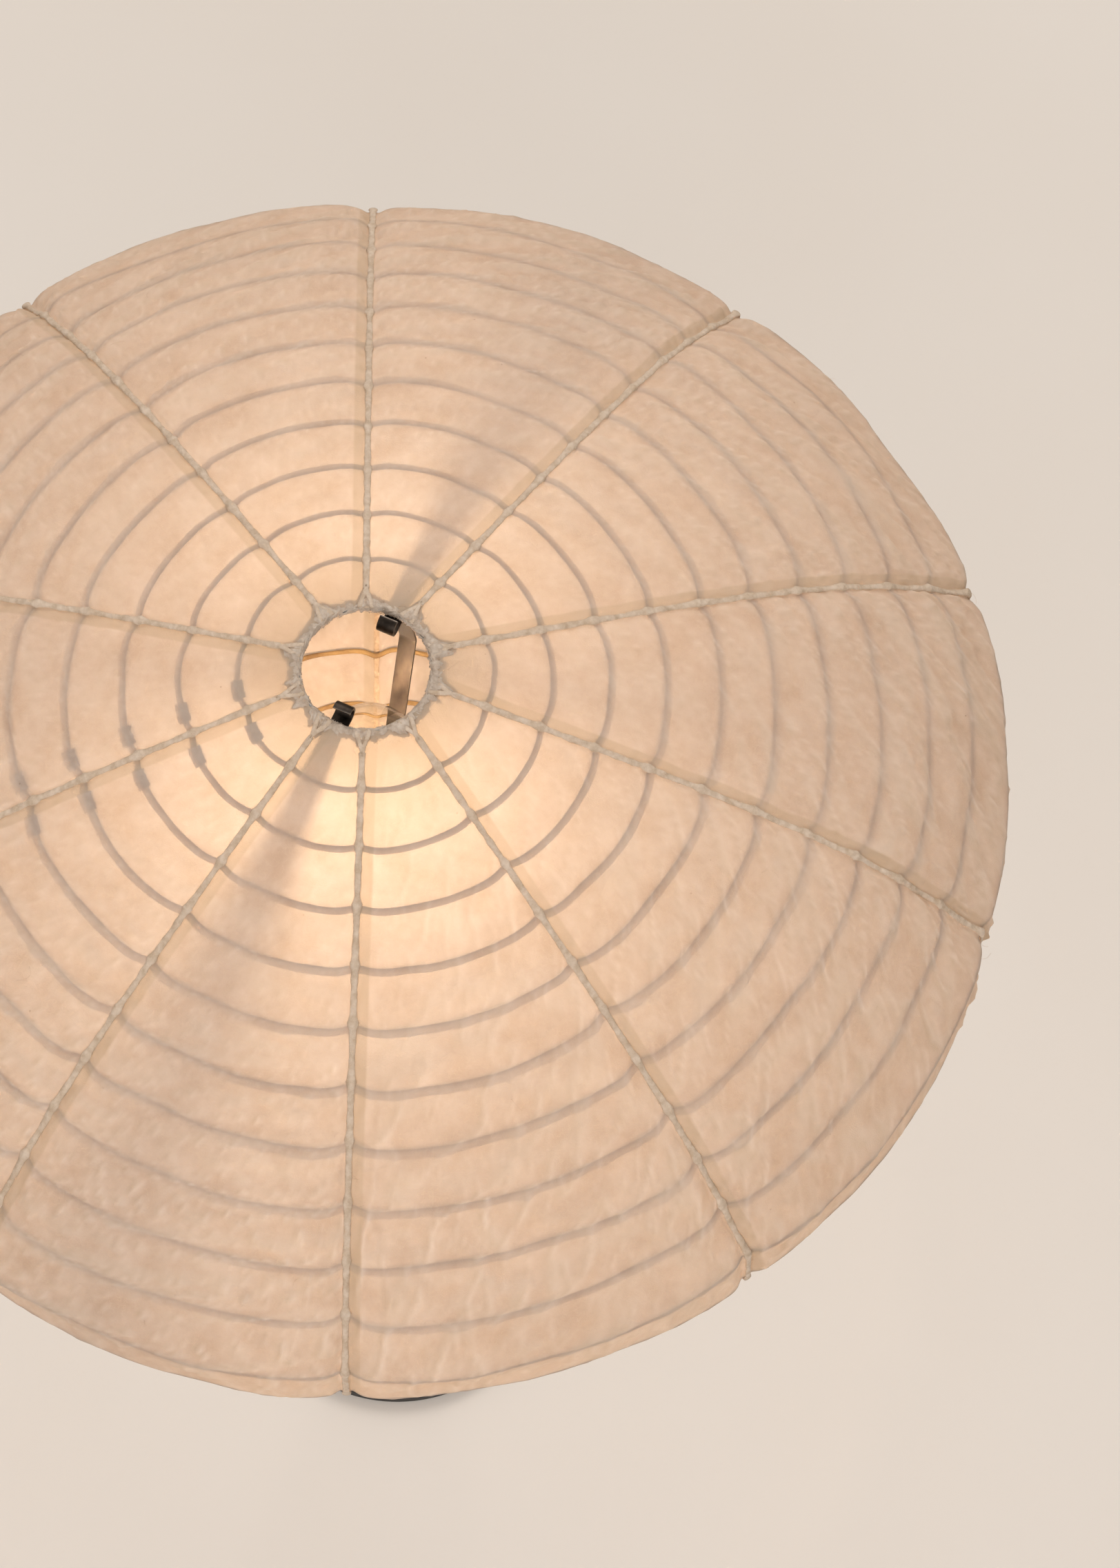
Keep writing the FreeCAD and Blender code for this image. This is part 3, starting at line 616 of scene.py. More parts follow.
# Spring steel blackened in oil: satin, near black, with bright rubbed edges.
STRAP_STEEL = Mottled(
    "oil_blackened_spring_steel", "#2B2622", "#4A423B", 0.42, 1.0, 6, 0.5, 0.12, 0.05,
    stretch=(1, 1, 0.25), worn_hex="#A79C92",
)
# Drawn galvanised wire: dull grey with a soft shine.
RING_STEEL = Mottled("galvanised_wire", "#7C7C7A", "#9C9C98", 0.45, 1.0, 3, 0.8)
# Turned and zinc plated steel: pale, cool and fairly bright.
ZINC = Mottled("zinc_plated_steel", "#A8A59C", "#C4C1B8", 0.32, 1.0, 4, 0.6)
# Drawn brass: yellow, with a soft bright shine.
BRASS = Mottled("drawn_brass", "#A98443", "#CDAA62", 0.28, 1.0, 5, 0.5)
# Rolled brass under nickel: pale, warm and bright.
CAP_METAL = Mottled("nickel_plated_brass", "#B4AEA2", "#D0CBC0", 0.25, 1.0, 4, 0.6)
# Pressed bakelite: near black with a brown tinge and a polished skin.
BAKELITE = Mottled("moulded_bakelite", "#17120F", "#2A211C", 0.3, 0.0, 9, 0.7, depth_mm=0.1, coat=0.2)
# Glazed porcelain: off-white under a wet gloss.
PORCELAIN = Mottled("glazed_porcelain", "#E4DFD4", "#F1EEE6", 0.2, 0.0, 8, 1.5, relief=0.05, coat=0.5)
# Sprayed powder coat: black, semi-matt, with a fine orange peel.
POWDER_COAT = Mottled("black_powder_coat", "#131313", "#1E1D1C", 0.5, 0.0, 30, 0.9, 0.35, 0.12)
# Pressed wool felt: dark, soft and without shine.
FELT = Mottled("wool_felt", "#2A2826", "#3D3A37", 0.95, 0.0, 4, 0.7, 0.9, 0.5, sheen=0.4)
# Moulded nylon: black with a waxy shine.
NYLON = Mottled("moulded_nylon", "#1A1A1A", "#262626", 0.45, 0.0, 6, 0.8, relief=0.15)
# A painted floor: pale, even and matt.
FLOOR = Mottled("pale_floor", "#EFEAE3", "#F1EDE7", 0.75, 0.0, 400, 4, relief=0.05)
GLASS = ClearGlass()
FILAMENT = HotFilament()


# ------------------------------------------------------------------ pieces


def weld_points(mesh: bpy.types.Mesh, distance: float) -> None:
    """Joins points nearer than a distance and drops faces that shrink to nothing."""
    work = bmesh.new()
    work.from_mesh(mesh)
    bmesh.ops.remove_doubles(work, verts=work.verts, dist=distance)
    bmesh.ops.dissolve_degenerate(work, edges=work.edges, dist=distance / 10)
    bmesh.ops.recalc_face_normals(work, faces=work.faces)
    work.to_mesh(mesh)
    work.free()


def make_mesh(name: str, patches: list[Patch], finishes: list[Finish], weld: float = 0.0) -> bpy.types.Object:
    """Puts patches into one mesh object at the origin.

    Args:
        name: the object's name.
        patches: the stretches of its surface.
        finishes: what they wear.
        weld: points nearer than this are joined, which closes poles and seams.

    Returns:
        The new object, smooth shaded.
    """
    starts = np.cumsum([0] + [patch.points.shape[0] * patch.points.shape[1] for patch in patches])
    points = np.concatenate([patch.points.reshape(-1, 3) for patch in patches])
    faces = np.concatenate([patch.faces() + start for patch, start in zip(patches, starts)])
    wears = np.concatenate([np.full(len(patch.faces()), patch.material) for patch in patches])
    mesh = bpy.data.meshes.new(name)
    mesh.vertices.add(len(points))
    mesh.vertices.foreach_set("co", points.astype(np.float32).ravel())
    mesh.loops.add(faces.size)
    mesh.loops.foreach_set("vertex_index", faces.astype(np.int32).ravel())
    mesh.polygons.add(len(faces))
    mesh.polygons.foreach_set("loop_start", np.arange(0, faces.size, 4, dtype=np.int32))
    mesh.polygons.foreach_set("material_index", wears.astype(np.int32))
    mesh.polygons.foreach_set("use_smooth", np.ones(len(faces), bool))
    for mark in sorted({mark for patch in patches for mark in patch.marks}):
        values = [patch.marks.get(mark, np.zeros(patch.points.shape[:2])).ravel() for patch in patches]
        data = mesh.attributes.new(mark, "FLOAT", "POINT").data
        data.foreach_set("value", np.concatenate(values).astype(np.float32))
    mesh.update(calc_edges=True)
    for finish in finishes:
        mesh.materials.append(finish.material())
    made = bpy.data.objects.new(name, mesh)
    bpy.context.scene.collection.objects.link(made)
    if weld:
        weld_points(mesh, weld)
    return made


def add_piece(
    name: str, patches: list[Patch], finishes: list[Finish], body: str, slot: str, *nodes: str,
    weld: float = WELD, even: bool = False,
) -> bpy.types.Object:
    """Makes a piece, puts it on its body, in place of its CAD nodes, and reports it.

    Args:
        name: the piece's name.
        patches: the stretches of its surface.
        finishes: what they wear.
        body: the body that it rides on.
        slot: its material slot; not used.
        nodes: the CAD nodes that it replaces.
        weld: points nearer than this are joined.
        even: whether broad flat faces stay flat beside their rounded edges.

    Returns:
        The piece.
    """
    piece = make_mesh(name, patches, finishes, weld)
    if even:
        piece.modifiers.new("even_shading", "WEIGHTED_NORMAL").keep_sharp = True
    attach(piece, body)
    if nodes:
        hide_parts(*nodes)
    LOG.info("%s rides on %s", piece.name, body)
    return piece


def wear(node: str, finish: Finish) -> None:
    """Gives a CAD node a finish."""
    mesh = bpy.data.objects[node].data
    mesh.materials.clear()
    mesh.materials.append(finish.material())
    LOG.info("%s wears %s", node, finish.name)


# ------------------------------------------------------------------ shade


@dataclass
class Shade:
    """Paper over bamboo hoops, tied by ten threads from the top ring to the bottom one.

    A place on the shade is a station, counted in hoops from the top ring, and an azimuth. Between two
    threads each hoop bows out, and at a thread it is drawn in, most of all near the rim. Heights that
    multiply a grain are in millimetres, and spans along a hoop are in metres.
    """

    gores: int = 10
    upper_hoops: int = 11
    lower_hoops: int = 10
    first_thread: float = 1.5
    thread_strays: tuple[float, ...] = (0, 1, 2.5, 0.5, 1, 2, 1, 3, 3, 1.5)
    wire_radius: float = 1.5 * MM
    hoop_radius: float = 1.6 * MM
    hoop_gap: float = 34 * MM
    paper_lift: float = 0.22 * MM
    pull_reach: float = 8.5 * MM
    rim_pull: float = 7 * MM
    ring_pull: float = 2.2 * MM
    bow: float = 0.18
    stray: float = 1.6 * MM
    sag: float = 1.0 * MM
    fold_spans: tuple[float, float] = (42 * MM, 23 * MM)
    swell_span: float = 55 * MM
    ripple_span: float = 11 * MM
    fold_height: float = 2.3
    swell_height: float = 1.7
    ripple_height: float = 0.7
    crest_spans: tuple[float, float] = (24 * MM, 13 * MM)
    crest_slants: tuple[float, float] = (90 * MM, 60 * MM)
    crest_height: float = 1.8
    crest_width: float = 2.6 * MM
    bare_reach: float = 6 * MM
    ridge_reach: float = 2.6 * MM
    tab_reach: float = 2.2 * MM
    tab_height: float = 3.2 * MM
    lap: float = 9 * MM
    thread_radius: float = 1.95 * MM
    thread_flatness: float = 0.5
    parting: float = 0.42
    parting_spread: float = 3.6 * MM
    branch_share: float = 0.72
    knot_share: float = 0.55
    splice_azimuth: float = 292.5
    wrap_place: float = 14 * MM
    wrap_half: float = 6 * MM
    hold: float = 1.18
    folded_share: float = 0.1314

    def __post_init__(self) -> None:
        """Reads the hoops' radii and heights from the frame, and works out the way out of the paper."""
        halves = (("upper", self.upper_hoops), ("lower", self.lower_hoops))
        hoops = [f"{half}_rib_{number:02d}" for half, count in halves for number in range(1, count + 1)]
        self.names = ["top_ring", *hoops, "bottom_ring"]
        boxes = [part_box(name) for name in self.names]
        self.radii = np.array([high.x - self.wire_radius for _, high in boxes])
        self.heights = np.array([(low.z + high.z) / 2 for low, high in boxes])
        runs = unit(np.stack([np.diff(self.radii), np.diff(self.heights)], axis=1))
        outs = np.stack([-runs[:, 1], runs[:, 0]], axis=1)
        self.outward = unit(np.concatenate([outs[:1], outs[:-1] + outs[1:], outs[-1:]]))
        square_on = (self.outward[1:] * outs).sum(axis=1)
        self.cover = (self.hoop_radius + self.paper_lift) / np.append(square_on[:1], square_on)
        step = 360 / self.gores
        self.threads = self.first_thread + step * np.arange(self.gores) + np.array(self.thread_strays)
        self.grain = Grain(11)
        self.rim_station = self.upper_hoops + 0.5

    def between(self, values: Grid, station: Grid) -> Grid:
        """Values of the hoops, taken in straight lines between them."""
        return np.interp(station, np.arange(len(values)), values)

    def near_thread(self, azimuth: Grid, radius: Grid) -> Grid:
        """The distance along a hoop to the nearest thread."""
        away = (azimuth[..., None] - self.threads + 180) % 360 - 180
        return np.radians(np.abs(away).min(-1)) * radius

    def slack(self, station: Grid) -> Grid:
        """From 0 at the top ring to 1 at the rim and 0.75 at the bottom ring: how free the paper is."""
        fall = 1 - 0.25 * smooth((station - self.rim_station) / (self.lower_hoops + 1))
        return smooth(station / self.rim_station) * fall

    def hoop_point(self, station: Grid, azimuth: Grid, lift: Grid | float = 0.0) -> Grid:
        """Where a hoop's centre line runs, or what lies a lift outside it.

        The radius is the hoop's own, plus a slow stray, plus a bow, less a pull at each thread that falls
        off as one over one plus the square of the distance, to the power one and a half. The stray reads
        the grain on a small circle, so that it meets itself once round.

        Args:
            station: counted in hoops from the top ring.
            azimuth: in degrees.
            lift: distance outwards.

        Returns:
            Points, one more way than the arguments.
        """
        station, azimuth = np.broadcast_arrays(station, azimuth)
        radius = self.between(self.radii, station)
        height = self.between(self.heights, station)
        slack = self.slack(station)
        near = self.near_thread(azimuth, radius)
        pull = self.ring_pull + (self.rim_pull - self.ring_pull) * slack
        drawn = pull * (self.bow - 1 / (1 + (near / self.pull_reach) ** 2) ** 1.5)
        angle = np.radians(azimuth)
        ahead, aside = 25 + 5 * np.cos(angle), 25 + 5 * np.sin(angle)
        slow = self.grain.layered(ahead + 0.9 * station, aside, 2) * self.stray * (0.25 + slack)
        bob = self.grain.layered(ahead, aside + 0.9 * station, 2) * self.stray * 0.5 * slack
        radius = radius + drawn + slow + self.between(self.outward[:, 0], station) * lift
        return about_axis(radius, azimuth, height + bob + self.between(self.outward[:, 1], station) * lift)

    def crests(self, station: Grid, azimuth: Grid) -> Grid:
        """How much of a sharp fold there is at a place: two sets of slanting crests, one finer."""
        arc = np.radians(azimuth) * self.between(self.radii, station)
        wide, close = self.crest_spans
        right, left = self.crest_slants
        coarse = self.grain.creased(arc / wide + 0.5 * np.floor(station), station * 1.1 + 5 + arc / right)
        return coarse + 0.6 * self.grain.creased(arc / close + 17, station * 1.9 - arc / left)

    def paper_point(self, station: Grid, azimuth: Grid, sink: Grid | float = 0.0) -> Grid:
        """Where the paper lies: straight from hoop to hoop, a little sunk between them, and creased.

        To the straight run it adds, along the way out, folds, swells and ripples that grow with the sine of
        the share of the way between two hoops, crests, a ridge over each thread, a tab on each thread at
        the rim, and less the sag. Crests, folds and swells end beside a thread.

        Args:
            station: counted in hoops from the top ring.
            azimuth: in degrees.
            sink: distance inwards.

        Returns:
            Points, one more way than the arguments.
        """
        station, azimuth = np.broadcast_arrays(station, azimuth)
        low = np.clip(np.floor(station), 0, len(self.radii) - 2)
        share = station - low
        start, end = (self.hoop_point(hoop, azimuth, self.between(self.cover, hoop)) for hoop in (low, low + 1))
        base = start + (end - start) * share[..., None]
        radius = self.between(self.radii, station)
        arc = np.radians(azimuth) * radius
        slack = self.slack(station)
        belly = np.sin(math.pi * np.clip(share, 0, 1))
        near = self.near_thread(azimuth, radius)
        grain = self.grain
        wide, close = self.fold_spans
        wander = 0.4 * np.sin(arc / (30 * MM))
        folds = grain.creased(arc / wide + 3 * np.floor(station), station * 0.9 + wander)
        folds = folds + 0.7 * grain.creased(arc / close + station, station * 1.7 + 9)
        swell = grain.layered(arc / self.swell_span + 5 * low, station * 0.8, 3)
        ripple = grain.layered(arc / self.ripple_span, station * 3.1, 2)
        crease = self.fold_height * folds + self.swell_height * swell + self.ripple_height * ripple
        crease = crease * MM * (0.3 + 0.8 * slack**1.3)
        sharp = self.crest_height * self.crests(station, azimuth) * (0.25 + 0.75 * belly)
        crease = (crease * belly**2 + (0.3 * folds + sharp) * MM * slack) * smooth(near / self.bare_reach)
        ridge = (0.9 + 0.9 * slack) * MM * bell(near, self.ridge_reach)
        tab = bell(station - self.rim_station, 0.55) * bell(near, self.tab_reach) * self.tab_height
        out = crease + ridge + tab - self.sag * belly**2 * (0.4 + slack) - sink
        lean, rise = (self.between(self.outward[:, way], station) * out for way in (0, 1))
        return base + about_axis(lean, azimuth, rise)

    def follow_fold(self, piece: bpy.types.Object) -> None:
        """Gives a soft piece a mesh of its own."""
        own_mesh(piece)

    def paper_marks(self, station: Grid, azimuth: Grid, edge: float) -> dict[str, Grid]:
        """What a gore's paper wears: its laps and doublings with a painted shade beside its folds, and a painted
        highlight on their crests.

        The first mark is the lap beside the gore's first thread and the doubled paper round the top ring, with a
        painted shade on the dark side of each crest, which is the crest read a little further round. The second
        mark is a painted highlight on each crest.

        Args:
            station: counted in hoops from the top ring.
            azimuth: in degrees.
            edge: the azimuth of the gore's first thread.

        Returns:
            The two marks, each from 0 to 1.
        """
        radius = self.between(self.radii, station)
        free = 0.35 + 0.65 * self.slack(station)
        past = np.radians(azimuth - edge) * radius
        lapped = smooth((self.lap - past) / (1.5 * MM)) * 0.6
        doubled = 0.8 * smooth(1 - station / 1.6)
        # Painted shade: the crests read a little further round darken the paper beside each fold.
        beside = azimuth + np.degrees(self.crest_width / radius)
        seam = np.clip(lapped + doubled + 0.5 * self.crests(station, beside) * free, 0, 1)
        # Painted highlight: the crests themselves are lightened.
        crest = np.clip(0.7 * self.crests(station, azimuth) * free, 0, 0.8)
        return {"seam": seam, "crest": crest}

    def make_paper(self, across: int = 110, per_span: int = 11) -> None:
        """Ten gores, each from thread to thread and from ring to ring.

        Args:
            across: columns of a gore, closer together near its threads.
            per_span: rows between two hoops, closer together near the hoops.
        """
        spans = len(self.radii) - 1
        run = np.arange(spans * per_span + 1) / per_span
        station = run - 0.09 * np.sin(TURN * run)
        even = np.linspace(0, 1, across)
        share = even - 0.1 * np.sin(TURN * even)
        edges = np.append(self.threads, self.threads[0] + 360)
        for number in range(self.gores):
            azimuth = edges[number] + (edges[number + 1] - edges[number]) * share
            rows, columns = np.meshgrid(station, azimuth, indexing="ij")
            marks = self.paper_marks(rows, columns, edges[number])
            patch = Patch(self.paper_point(rows, columns), marks=marks, flip=True)
            name, node = f"washi_{number + 1:02d}", f"paper_gore_{number + 1:02d}"
            gore = add_piece(name, [patch], [PAPER], "shade_top", "paper", node, weld=0.0)
            self.follow_fold(gore)

    def make_threads(self, per_span: int = 16) -> None:
        """Ten raised threads with a knot on each hoop, each split in two where it meets the top ring.

        The oval section sits at the paper's surface. Its size is the thread's own, times one plus a knot
        that falls off along the thread as a bell from each hoop, plus the seeded unevenness of hand-spun
        thread.
        """
        section = round_section(self.thread_radius, 10, self.thread_flatness)
        spans = len(self.radii) - 1
        main = np.linspace(self.parting, spans - 0.05, int((spans - self.parting) * per_span))
        branch = np.linspace(0.0, self.parting + 0.06, 14)
        patches = []
        for number, azimuth in enumerate(self.threads):
            way = np.array([math.cos(math.radians(azimuth)), math.sin(math.radians(azimuth)), 0])
            for station, side in ((main, 0.0), (branch, 1.0), (branch, -1.0)):
                spread = side * self.parting_spread * smooth(1 - station / self.parting) ** 0.8
                shift = np.degrees(spread / self.between(self.radii, station))
                centre = self.paper_point(station, azimuth + shift, -0.25 * MM)
                centre[:, 2] += 0.3 * MM * abs(side)
                to_hoop = np.abs(station - np.round(station)) * self.hoop_gap
                knot = self.knot_share * bell(to_hoop, 2.6 * MM) * (station > 0.5)
                uneven = 0.15 * self.grain.layered(station * 7, np.full(station.shape, 3.0 * number), 3)
                scale = (self.branch_share if side else 1.0) * (1 + knot + uneven)
                patches.append(sweep(centre, section, way, scale))
        threads = add_piece("cotton_threads", patches, [THREAD], "shade_top", "thread", "meridian_threads")
        self.follow_fold(threads)

    def make_hoops(self, columns: int = 420) -> None:
        """Twenty-one bamboo hoops, each joined under two dark paper wraps beside the left thread."""
        section = round_section(self.hoop_radius, 8)
        wrap = round_section(self.hoop_radius + 0.05 * MM, 12, 2.3)
        azimuth = self.splice_azimuth + np.linspace(0, 360, columns, endpoint=False)
        for station, name in enumerate(self.names[1:-1], start=1):
            outward = about_axis(self.outward[station, 0], self.splice_azimuth, self.outward[station, 1])
            centre = self.hoop_point(np.full(columns, float(station)), azimuth)
            patches = [self.ring_patch(centre, section, station)]
            for side in (-1, 1):
                middle = self.splice_azimuth + side * math.degrees(self.wrap_place / self.radii[station])
                half = math.degrees(self.wrap_half / self.radii[station])
                along = np.linspace(middle - half, middle + half, 14)
                level = np.full(len(along), float(station))
                ragged = 0.96 + 0.1 * self.grain.at(along * 7, level)
                patches.append(sweep(self.hoop_point(level, along), wrap, outward, ragged, material=1))
            body = name.replace("rib", "hoop")
            add_piece(f"bamboo_{name}", patches, [BAMBOO, SLEEVE], body, "bamboo", name)

    def ring_patch(self, centre: Grid, section: Grid, station: int) -> Patch:
        """A closed ring that carries a section, a little thicker and thinner as split bamboo is."""
        ahead = unit(np.roll(centre, -1, axis=0) - np.roll(centre, 1, axis=0))
        side = np.cross(ahead, (0.0, 0.0, 1.0))
        rise = np.cross(side, ahead)
        turn = np.linspace(0, self.grain.cells, len(centre), endpoint=False)
        thick = 1 + 0.08 * self.grain.at(turn, np.full(len(centre), 2.0 * station))
        spread = section[None] * thick[:, None, None]
        points = centre[:, None] + spread[..., :1] * side[:, None] + spread[..., 1:] * rise[:, None]
        return Patch(points, closed_rows=True, closed_columns=True)


@dataclass
class Binding:
    """Torn paper pasted round a wire ring, over the ends of the gores and threads.

    Attributes:
        shade: what it is pasted to.
        station: 0 at the top ring, and the last station at the bottom one.
        name: the ring's name.
        gusset: how far its tongues reach along the threads.
        fringe: how far its torn edge stands into the opening.
    """

    shade: Shade
    station: int
    name: str
    cover: float = 2.1 * MM
    reach: float = 2.6 * MM
    gusset: float = 7.5 * MM
    gusset_width: float = 8.0 * MM
    ragged: float = 1.7 * MM
    lump: float = 0.6 * MM
    strand: float = 0.75 * MM
    fringe: float = 1.5 * MM
    seed: int = 5

    def place(self, run: Grid, rise: Grid, azimuth: Grid) -> Grid:
        """Points a run along the paper away from the ring, and a rise out of the paper."""
        shade, station = self.shade, self.station
        other = 1 if station == 0 else station - 1
        ways = [values[other] - values[station] for values in (shade.radii, shade.heights)]
        along, out = unit(np.array(ways)), shade.outward[station]
        ring = shade.radii[station] + along[0] * run + out[0] * rise
        level = shade.heights[station] + along[1] * run + out[1] * rise
        return about_axis(ring, azimuth[None, :], level)

    def roll(self, columns: int = 900, rows: int = 40) -> Patch:
        """A lumpy closed roll round the ring, drawn out along each thread to a three-cornered tongue.

        The section is an oval that grows away from the opening. Its length is the cover of the wire plus a
        reach over the paper, plus a tongue at each thread, and seeded grain moves its surface in and out.
        """
        grain = Grain(self.seed)
        azimuth = np.linspace(0, 360, columns, endpoint=False)
        near = self.shade.near_thread(azimuth, np.full(columns, self.shade.radii[self.station]))
        around = azimuth / 360 * grain.cells
        wild = 1 + 0.8 * grain.layered(around + 3, np.full(columns, 6.5), 2)
        tongue = np.clip(1 - near / (self.gusset_width * wild), 0, 1) ** 1.4 * wild
        uneven = grain.layered(around, np.full(columns, 2.5), 2)
        far = self.cover + self.reach + self.gusset * tongue + self.ragged * uneven
        angle = circle(rows)[:, None]
        reach = np.where(np.cos(angle) > 0, far[None, :], self.cover + 0.35 * MM * uneven[None, :])
        thick = 1.0 + 0.25 * uneven - 0.42 * np.clip(np.cos(angle), 0, 1) ** 2 + 0.2 * tongue
        lengthwise, crosswise = around[None, :] + 2 * np.sin(angle), 9 + 2 * np.cos(angle)
        lump = grain.layered(2 * lengthwise, crosswise + np.zeros(columns), 3) * self.lump
        lump = lump + (grain.creased(lengthwise, crosswise + around[None, :]) - 0.3) * self.strand
        rise = np.sin(angle) * (self.cover * 1.15 * thick + lump)
        points = self.place(np.cos(angle) * (reach + lump), rise, azimuth)
        return Patch(points, closed_rows=True, closed_columns=True, flip=True)

    def torn_edge(self, columns: int = 1400) -> Patch:
        """A thin torn edge that stands out into the opening, as deep as its seeded grain is high."""
        grain = Grain(self.seed + 1, 128)
        azimuth = np.linspace(0, 360, columns, endpoint=False)
        around = azimuth / 360 * grain.cells
        torn = 0.5 + 0.35 * grain.layered(around, np.full(columns, 1.5), 3) + 0.2 * grain.at(around * 5, around)
        deep = self.cover * 0.7 + self.fringe * np.clip(torn, 0.05, 1.4)
        share = np.linspace(0.35, 1, 5)[:, None]
        droop = -0.6 * MM * share**2 + 0.3 * MM * grain.at(around * 2, np.full(columns, 9.0))
        points = self.place(-deep * share, droop, azimuth)
        points[..., 2] -= 0.2 * MM * self.shade.outward[self.station, 1]
        return Patch(points, closed_columns=True, material=1)

    def make(self, body: str) -> None:
        """The binding with its torn edge, and the wire inside it."""
        name, patches = f"{self.name}_torn_binding", [self.roll(), self.torn_edge()]
        add_piece(name, patches, [WRAP, PAPER], body, "binding_paper", f"{self.name}_binding", weld=0.0)
        wear(f"{self.name}_ring", RING_STEEL)


@dataclass
class Hairs:
    """Loose fibres that stand off the paper, the threads and the torn edges."""

    shade: Shade
    count: int = 260
    thickness: float = 0.07 * MM
    longest: float = 11 * MM
    thread_share: float = 0.55
    ring_share: float = 0.3
    seed: int = 23

    def make(self) -> None:
        """Curled hairs, each a three-sided tube whose heading turns by the square of its length."""
        chance, shade, count = np.random.default_rng(self.seed), self.shade, self.count
        threads = chance.choice(shade.threads, count)
        loose = chance.uniform(0, 360, count)
        on_thread = chance.random(count) < self.thread_share
        spread = chance.normal(0, 1.2, count)
        at_ring = chance.random(count) < self.ring_share
        ring_station = chance.uniform(0.02, 0.3, count)
        far_station = chance.uniform(0.3, 1, count) ** 0.6 * (shade.upper_hoops + 1.2)
        station = np.where(at_ring, ring_station, far_station)
        azimuth = np.where(on_thread, threads + spread / (0.3 + station), loose)
        roots = shade.paper_point(station, azimuth, -0.2 * MM)
        length = self.longest * chance.uniform(0.25, 1, count) ** 1.5
        heading, curl, lift = (chance.uniform(*span, count) for span in ((0, TURN), (-1.6, 1.6), (0.05, 0.5)))
        share = np.linspace(0, 1, 7)
        section = round_section(self.thickness, 3)
        patches = []
        for root, long, way, bend, up in zip(roots, length, heading, curl, lift):
            turn = way + bend * share**2
            ways = np.stack([np.cos(turn), np.sin(turn), up * (1 - share)], axis=1)
            patches.append(sweep(root + long * share[:, None] * ways, section, (0, 0, 1)))
        shade.follow_fold(add_piece("loose_fibres", patches, [PAPER], "shade_top", "paper"))


# ------------------------------------------------------------------ steel, glass and moulded parts


@dataclass
class Straps:
    """Two sprung steel straps that rise beside the bulb and hook under the top ring."""

    azimuth: float = 338.5
    width: float = 11 * MM
    thickness: float = 1.6 * MM
    edge: float = 0.45 * MM
    ring_cover: float = 2.7 * MM
    wire_radius: float = 1.5 * MM
    gap: float = 0.3 * MM
    hook_radius: float = 5.2 * MM
    hook_reach: float = 31 * MM
    shoulder: float = 45 * MM
    belly: tuple[float, float] = (55 * MM, 64 * MM)
    waist: tuple[float, float] = (33 * MM, 152 * MM)
    foot: tuple[float, float] = (25 * MM, 10 * MM)
    bends: tuple[float, ...] = (4 * MM, 36 * MM, 13.5 * MM, 4.5 * MM, 5.19 * MM, 5.19 * MM)
    rivet_reach: float = 16 * MM
    rivet_head: tuple[float, float] = (2.7 * MM, 1.2 * MM)
    rivet_shank: float = 1.6 * MM
    boss: tuple[float, float] = (11 * MM, 6.55 * MM)
    boss_overlap: float = 9 * MM
    bar_bend: float = 4 * MM

    def route(self) -> Grid:
        """The strap's middle line in the XZ plane, from its foot to the end of its hook."""
        low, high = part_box("top_ring")
        ring = (low.z + high.z) / 2
        under = ring - self.ring_cover - self.gap - self.thickness / 2
        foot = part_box("holder_plate")[0].z - self.thickness / 2
        hook = self.hook_reach - self.hook_radius
        top = under + 2 * self.hook_radius
        corners = [
            (self.foot[1], foot), (self.foot[0], foot), (self.waist[0], ring - self.waist[1]),
            (self.belly[0], ring - self.belly[1]), (self.shoulder, under), (hook, under), (hook, top),
            (self.hook_reach + self.thickness / 2, top),
        ]
        return rounded_route(np.array(corners), list(self.bends), steps=14)

    def arm_patch(self, route: Grid, arm: Arm) -> Patch:
        """The strap's section carried along a route of reach and height, on one arm's side."""
        line = np.stack([route[:, 0], np.zeros(len(route)), route[:, 1]], axis=1)
        patch = sweep(line, strip_section(self.width, self.thickness, self.edge), (0, 1, 0))
        patch.points = turned_about(patch.points, self.azimuth + arm.value)
        return patch

    def make(self) -> None:
        """Both straps, as one section carried along the route."""
        for arm in Arm:
            name = f"stretcher_arm_{arm.name.lower()}"
            patches = [self.arm_patch(self.route(), arm)]
            add_piece(f"spring_{name}", patches, [STRAP_STEEL], "stand", "strap_steel", name, even=True)

    def make_rivets(self) -> None:
        """Two rivets with domed heads under the strap feet: the dome's section is a quarter of an oval."""
        low, high = (corner.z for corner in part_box("arm_rivets"))
        head, deep = self.rivet_head
        angle = np.linspace(0, math.pi / 2, 8)
        dome = np.stack([head * np.sin(angle), low + deep * (1 - np.cos(angle))], axis=1)
        shank = [(self.rivet_shank, low + deep), (self.rivet_shank, high), (0.0, high)]
        patches = []
        for arm in Arm:
            patch = lathe(np.concatenate([dome, shank]), 32, closed=False)
            patch.points = patch.points + about_axis(self.rivet_reach, self.azimuth + arm.value, 0.0)
            patches.append(patch)
        add_piece("domed_rivets", patches, [ZINC], "stand", "fastener_steel", "arm_rivets", even=True)

    def make_spreader(self) -> None:
        """The bar that keeps the bottom ring centred, in two halves on a round boss."""
        low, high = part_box("lower_spreader")
        level = low.z + self.thickness / 2
        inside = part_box("bottom_ring")[1].x - self.wire_radius - self.ring_cover - self.gap
        tip = math.sqrt(inside**2 - (self.width / 2) ** 2) - self.thickness / 2
        corners = np.array([(self.boss_overlap, level), (tip, level), (tip, high.z)])
        route = rounded_route(corners, [self.bar_bend], 12)
        patches = [lathe(tube_outline(*self.boss, low.z, low.z + self.thickness, 0.3 * MM))]
        patches += [self.arm_patch(route, arm) for arm in Arm]
        name = "spring_lower_spreader"
        add_piece(name, patches, [STRAP_STEEL], "stand", "strap_steel", "lower_spreader", even=True)


